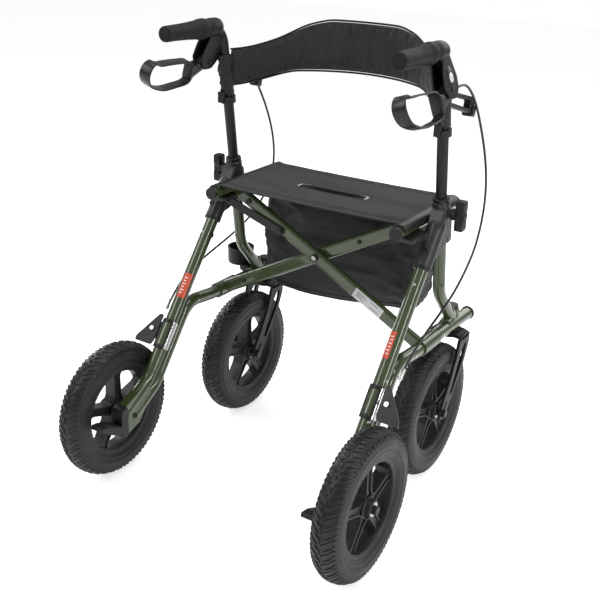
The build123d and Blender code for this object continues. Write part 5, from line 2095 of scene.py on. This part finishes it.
@dataclass(frozen=True)
class Bag:
    """The slack nylon bag that hangs under the front of the seat."""

    half_x: float = 204.0
    rear_y: float = 401.0
    front_y: float = 505.0
    low_z: float = 330.0
    top_z: float = 582.0

    def build(self) -> None:
        """Builds the bag, its bound rim, seams and strap hook."""
        shell = self._shell()
        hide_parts("storage_bag")
        for piece in (shell, self._seams(), self._strap()):
            settle(piece, "left_frame")
            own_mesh(piece)

    def ring_point(self, turn: float, height: float) -> Vector:
        """A point on the bag's wall.

        Args:
            turn: from 0 to 1 round the bag, starting at the middle of the rear face.
            height: from 0 at the bottom to 1 at the rim.

        Returns:
            The point in metres.
        """
        angle = math.tau * turn - math.pi / 2
        power = 0.26
        cx, cy = math.cos(angle), math.sin(angle)
        sx = math.copysign(abs(cx) ** power, cx)
        sy = math.copysign(abs(cy) ** power, cy)
        belly = math.sin(math.pi * min(1.0, height * 1.05)) ** 0.7
        wide = self.half_x - 14 * (1 - smoothstep(0.0, 0.12, height)) - 5.0 + 4.0 * belly
        deep = (self.front_y - self.rear_y) / 2 - 16 * (1 - smoothstep(0.0, 0.16,
                                                                       height)) - 7.0 + 5.5 * belly
        middle = (self.front_y + self.rear_y) / 2
        x, y = wide * sx, middle + deep * sy
        droop = 9.0 * math.sin(math.pi * (x / self.half_x + 1) / 2) ** 2 * smoothstep(0.75, 1.0, height)
        z = self.low_z + (self.top_z - self.low_z) * height - droop
        sag = 5.0 * (1 - (x / self.half_x) ** 2) * (1 - smoothstep(0.0, 0.3, height))
        fold = 7.5 * crease(x * 0.9 + y * 0.4, z * 1.6 + x * 0.5, y * 0.8, 0.013)
        drift = crease(x, z, y, 0.008)
        long_fold = 4.6 * math.sin(x * 0.05 + 3.0 * drift + z * 0.022)
        ridge = 3.4 * (1 - abs(crease(x * 0.7 - z * 0.5, z * 1.3 + x * 0.6, y, 0.02)) * 2.4)
        fine = 1.2 * crease(x, z * 0.8, y, 0.05)
        push = (fold + long_fold * smoothstep(0.1, 0.6, height) + ridge + fine) * (0.3 + 0.7 * belly)
        push -= 7.0
        rise = 24.0 * smoothstep(-90, 200, x) * (1 - smoothstep(0.0, 0.5, height))
        return at(x + push * sx * abs(cx), y + push * sy * abs(cy) ** 0.6, z + 2.5 - sag * 0.5 + rise)

    def _shell(self) -> Piece:
        """The bag's walls and floor as one sewn shell, hollow and open at the top."""
        turns, heights = 168, 52
        rows = []
        for level in (0.25, 0.6, 0.85, 0.97):
            base = [self.ring_point(i / turns, 0.0) for i in range(turns)]
            middle = sum(base, Vector()) / turns
            lift = 2.2 * (1 - level)
            rows.append([middle + (p - middle) * level + Vector((0, 0, lift * MM)) for p in base])
        rows += [[self.ring_point(i / turns,
                                  h / heights) for i in range(turns)] for h in range(heights + 1)]
        shape = Shape()
        shape.skin(rows, caps=False)
        centre = sum(rows[0], Vector()) / turns
        shape.points.append(centre)
        last = len(shape.points) - 1
        for i in range(turns):
            shape._face((last, (i + 1) % turns, i), 0)
        for r, row in enumerate(rows):
            run = 0.0
            for c, point in enumerate(row):
                if c:
                    run += (point - row[c - 1]).length
                shape.uvs[r * turns + c] = (run, point.z)
        shape.uvs[last] = (0.0, 0.0)
        piece = shape.make("bag_shell", BAG_CLOTH)
        thicken(piece, 1.4, -1.0)
        return plain(piece)

    def _seams(self) -> Piece:
        """The bound rim, the piped bottom edge and the two panel seams on each face."""
        shape = Shape()
        tape = strip(1.7, 6.0, 1.0, 2)
        rim = [self.ring_point(i / 120, 0.985) for i in range(120)]
        shape.skin(sections_along(rim, lambda _share: [(b, a) for a, b in tape], Z_AXIS, closed=True),
                   along=True)
        foot = [self.ring_point(i / 120, 0.045) for i in range(120)]
        shape.skin(sections_along(foot, lambda _share: circle(1.9, 8), Z_AXIS, closed=True), along=True)
        for turn in (0.135, 0.865, 0.365, 0.635):
            path = [self.ring_point(turn, 0.05 + 0.9 * i / 40) for i in range(41)]
            shape.skin(sections_along(path, lambda _share: [(a * 1.5, b * 1.1) for a, b in circle(1.0, 8)],
                                      X_AXIS))
        return shape.make("bag_seams", BAG_CLOTH)

    def _strap(self) -> Piece:
        """The hanging loops that carry the rim up to the seat."""
        shape = Shape()
        for x in (-150.0, 150.0):
            for y in (408.0, 496.0):
                path = [at(x, y, 566 + 32 * i / 8) for i in range(9)]
                shape.skin(sections_along(path, lambda _share: strip(10, 0.8, 0.6, 2), X_AXIS))
        return shape.make("bag_loops", STRAP)


# ---------------------------------------------------------------- brace and small marks
@dataclass(frozen=True)
class Brace:
    """The label, washers and screws on the crossed arms."""

    slope: float = (592.5 - 336.5) / (220.5 + 259.0)
    pivot_x: float = 259.0
    pivot_z: float = 336.5
    half: float = 7.5

    def arm_z(self, x: float) -> float:
        """The height of the right-rising arm's axis at x."""
        return self.pivot_z + (x + self.pivot_x) * self.slope

    def build(self) -> None:
        """Builds what is fixed to the arms."""
        settle(self._label(), "arm_b")
        head = SideFrame()._screw_head("arm_head", 5.2, 2.6)
        rear = Vector((0, -1, 0))
        spots_a = [Spot(at(x, 333.5 - self.half, self.arm_z(x)), rear) for x in (-196.0, 96.0)]
        spots_b = [Spot(at(-x, 316.5 - self.half, self.arm_z(x)), rear) for x in (-208.0, 90.0)]
        settle(on_spots("arm_a_screws", head, spots_a, CAP_BLACK), "arm_a")
        settle(on_spots("arm_b_screws", head, spots_b, CAP_BLACK), "arm_b")
        middle = Spot(at(0, 316.5 - self.half - 4.6, self.arm_z(0)), rear)
        centre = on_spots("arm_cross_screw", head, [middle], STEEL)
        settle(centre, "arm_b")
        discard(head)

    def _label(self) -> Piece:
        """The silver label with plain grey bars on the left-rising arm."""
        run = Vector((1, 0, -self.slope)).normalized()
        up = Vector((self.slope, 0, 1)).normalized()
        middle = at(133, 316.5 - self.half - 0.1, self.arm_z(-133.0))
        axes = Axes(middle, run, up)
        shape = Shape()
        shape.plate(strip(38, 11.5, 2.0, 3), axes, -0.1, 0.25, 0.08)
        for u, v, wide in ((-31, 6.0, 40), (-31, 2.4, 52), (-31, -1.2, 30), (-31, -4.8, 46), (4, 6.0, 40),
                           (8, -4.8, 44)):
            shape.plate([(u, v - 0.6), (u + wide / 2, v - 0.6), (u + wide / 2, v + 0.6), (u, v + 0.6)],
                        axes, 0.2,
                        0.32, 0.02, 1)
        return shape.make("arm_label", LABEL_SILVER, CAP_BLACK)


# ---------------------------------------------------------------- CAD nodes that stay
CAD_FINISHES: dict[str, Finish] = {
    "side_frame": GREEN_PAINT, "seat_tube": GREEN_PAINT, "brace_arm": GREEN_PAINT,
    "handle_post": POST_BLACK,
    "rear_axle": CAP_BLACK, "tube_caps": CAP_BLACK, "kerb_pedal": CAP_BLACK, "brake_bracket": ALLOY,
    "bearings": STEEL, "fork_stem_and_axle": CAP_BLACK, "backrest_clamp": PLASTIC, "brake_arm": CAP_BLACK,
    "fold_link": CAP_BLACK, "brace_fittings": CAP_BLACK,
}


def dress_cad(nodes: dict[str, Piece]) -> None:
    """Gives the CAD nodes that stay in view their finishes.

    Args:
        nodes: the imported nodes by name.
    """
    for name, node in nodes.items():
        for part, finish in CAD_FINISHES.items():
            if part in name:
                for slot in node.material_slots:
                    slot.material = PAINTS.get(finish)


# ---------------------------------------------------------------- floor, light and camera
@dataclass(frozen=True)
class Studio:
    """A pale floor, soft studio lights and the camera."""

    eye: tuple[float, float, float] = (973.0, -1512.0, 1173.0)
    heading: float = 33.94
    dip: float = 22.6
    roll: float = 1.17
    lens: float = 56.72
    shift: Point2 = (0.053, -0.009)
    surround: Point2 = (0.38, 1.0)
    floor_glow: Point2 = (0.28, 0.62)

    def build(self) -> None:
        """Builds the floor, the lights and the camera."""
        self._floor()
        self._world()
        for name, place, aim, size, power in (
                ("key", (-1.6, -2.2, 2.6), (0, 0, 0.5), (1.2, 2.0), 34.0),
                ("right_strip", (2.6, -0.4, 1.6), (0, 0, 0.5), (0.25, 2.6), 30.0),
                ("left_strip", (-2.4, 0.6, 1.5), (0, 0, 0.5), (0.25, 2.4), 22.0),
                ("top", (0.2, 0.3, 3.2), (0, 0, 0.3), (1.8, 1.8), 36.0),
                ("back", (0.3, 2.8, 1.8), (0, 0, 0.5), (2.4, 1.0), 16.0)):
            self._light(name, Vector(place), Vector(aim), size, power)
        self._camera()

    def _floor(self) -> None:
        """The pale floor."""
        rows = [[Vector((x, y, 0.0)) for x in (-9.0, 9.0)] for y in (-9.0, 9.0)]
        floor = Shape().skin(rows, around=False, caps=False).make("studio_floor", PALE_FLOOR, recalc=False)
        shader = PAINTS.get(PALE_FLOOR).node_tree.nodes["Principled BSDF"]
        shader.inputs["Emission Color"].default_value = (1.0, 1.0, 1.0, 1.0)
        graph = Graph(PAINTS.get(PALE_FLOOR).node_tree)
        seen = graph.node("ShaderNodeLightPath").outputs["Is Camera Ray"]
        graph.feed(shader.inputs["Emission Strength"], graph.remap(seen, 0.0, 1.0, *self.floor_glow))
        floor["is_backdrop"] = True

    def _world(self) -> None:
        """An even white surround."""
        world = bpy.data.worlds.new("studio")
        world.use_nodes = True
        shader = world.node_tree.nodes["Background"]
        graph = Graph(world.node_tree)
        seen = graph.node("ShaderNodeLightPath").outputs["Is Camera Ray"]
        shader.inputs["Color"].default_value = (1.0, 1.0, 1.0, 1.0)
        graph.feed(shader.inputs["Strength"], graph.remap(seen, 0.0, 1.0, *self.surround))
        bpy.context.scene.world = world
        bpy.context.scene.view_settings.view_transform = "Standard"

    def _light(self, name: str, place: Vector, aim: Vector, size: Point2, power: float) -> None:
        """One area light.

        Args:
            name: its name.
            place: where it stands, in metres.
            aim: what it looks at.
            size: its width and height in metres.
            power: its power in watts.
        """
        data = bpy.data.lights.new(name, "AREA")
        data.shape, data.size, data.size_y, data.energy = "RECTANGLE", size[0], size[1], power
        lamp = bpy.data.objects.new(name, data)
        lamp.location = place
        lamp.rotation_euler = (aim - place).to_track_quat("-Z", "Y").to_euler()
        bpy.context.scene.collection.objects.link(lamp)

    def _camera(self) -> None:
        """The camera, from behind and to the right."""
        heading, dip, roll = (math.radians(a) for a in (self.heading, self.dip, self.roll))
        ahead = Vector((-math.sin(heading) * math.cos(dip), math.cos(heading) * math.cos(dip),
                        -math.sin(dip)))
        level = Vector((math.cos(heading), math.sin(heading), 0))
        lift = level.cross(ahead)
        right = level * math.cos(roll) + lift * math.sin(roll)
        up = lift * math.cos(roll) - level * math.sin(roll)
        data = bpy.data.cameras.new("studio_camera")
        data.lens, data.sensor_width = self.lens, 36.0
        data.shift_x, data.shift_y = self.shift
        camera = bpy.data.objects.new("studio_camera", data)
        turn = Matrix((right, up, -ahead)).transposed().to_4x4()
        camera.matrix_world = Matrix.Translation(Vector(self.eye) * MM) @ turn
        bpy.context.scene.collection.objects.link(camera)
        bpy.context.scene.camera = camera


def box_of(corners: Iterable[Vector]) -> list[list[float]]:
    """A box as plain lists of numbers."""
    return [[float(c) for c in corner] for corner in corners]


def main() -> list[list[float]]:
    """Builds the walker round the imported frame.

    Returns:
        The CAD model's box.
    """
    logging.basicConfig(level=logging.INFO, format="%(message)s")
    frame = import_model()
    cad_box = box_of(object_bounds())
    Studio().build()
    dress_cad(frame["nodes"])
    BrakeCables().build()
    for side in Side:
        Wheel(side, "rear", at(side.value * 307, 0, 150)).build()
        Wheel(side, "front", at(side.value * 247, 402, 150)).build()
    CasterFork().build()
    Controls().build()
    frames = SideFrame()
    frames.build()
    PostFittings().build(frames)
    Seat().build()
    BackBand().build()
    Bag().build()
    Brace().build()
    return cad_box


if __name__ == "__main__":
    CAD_BOX = main()
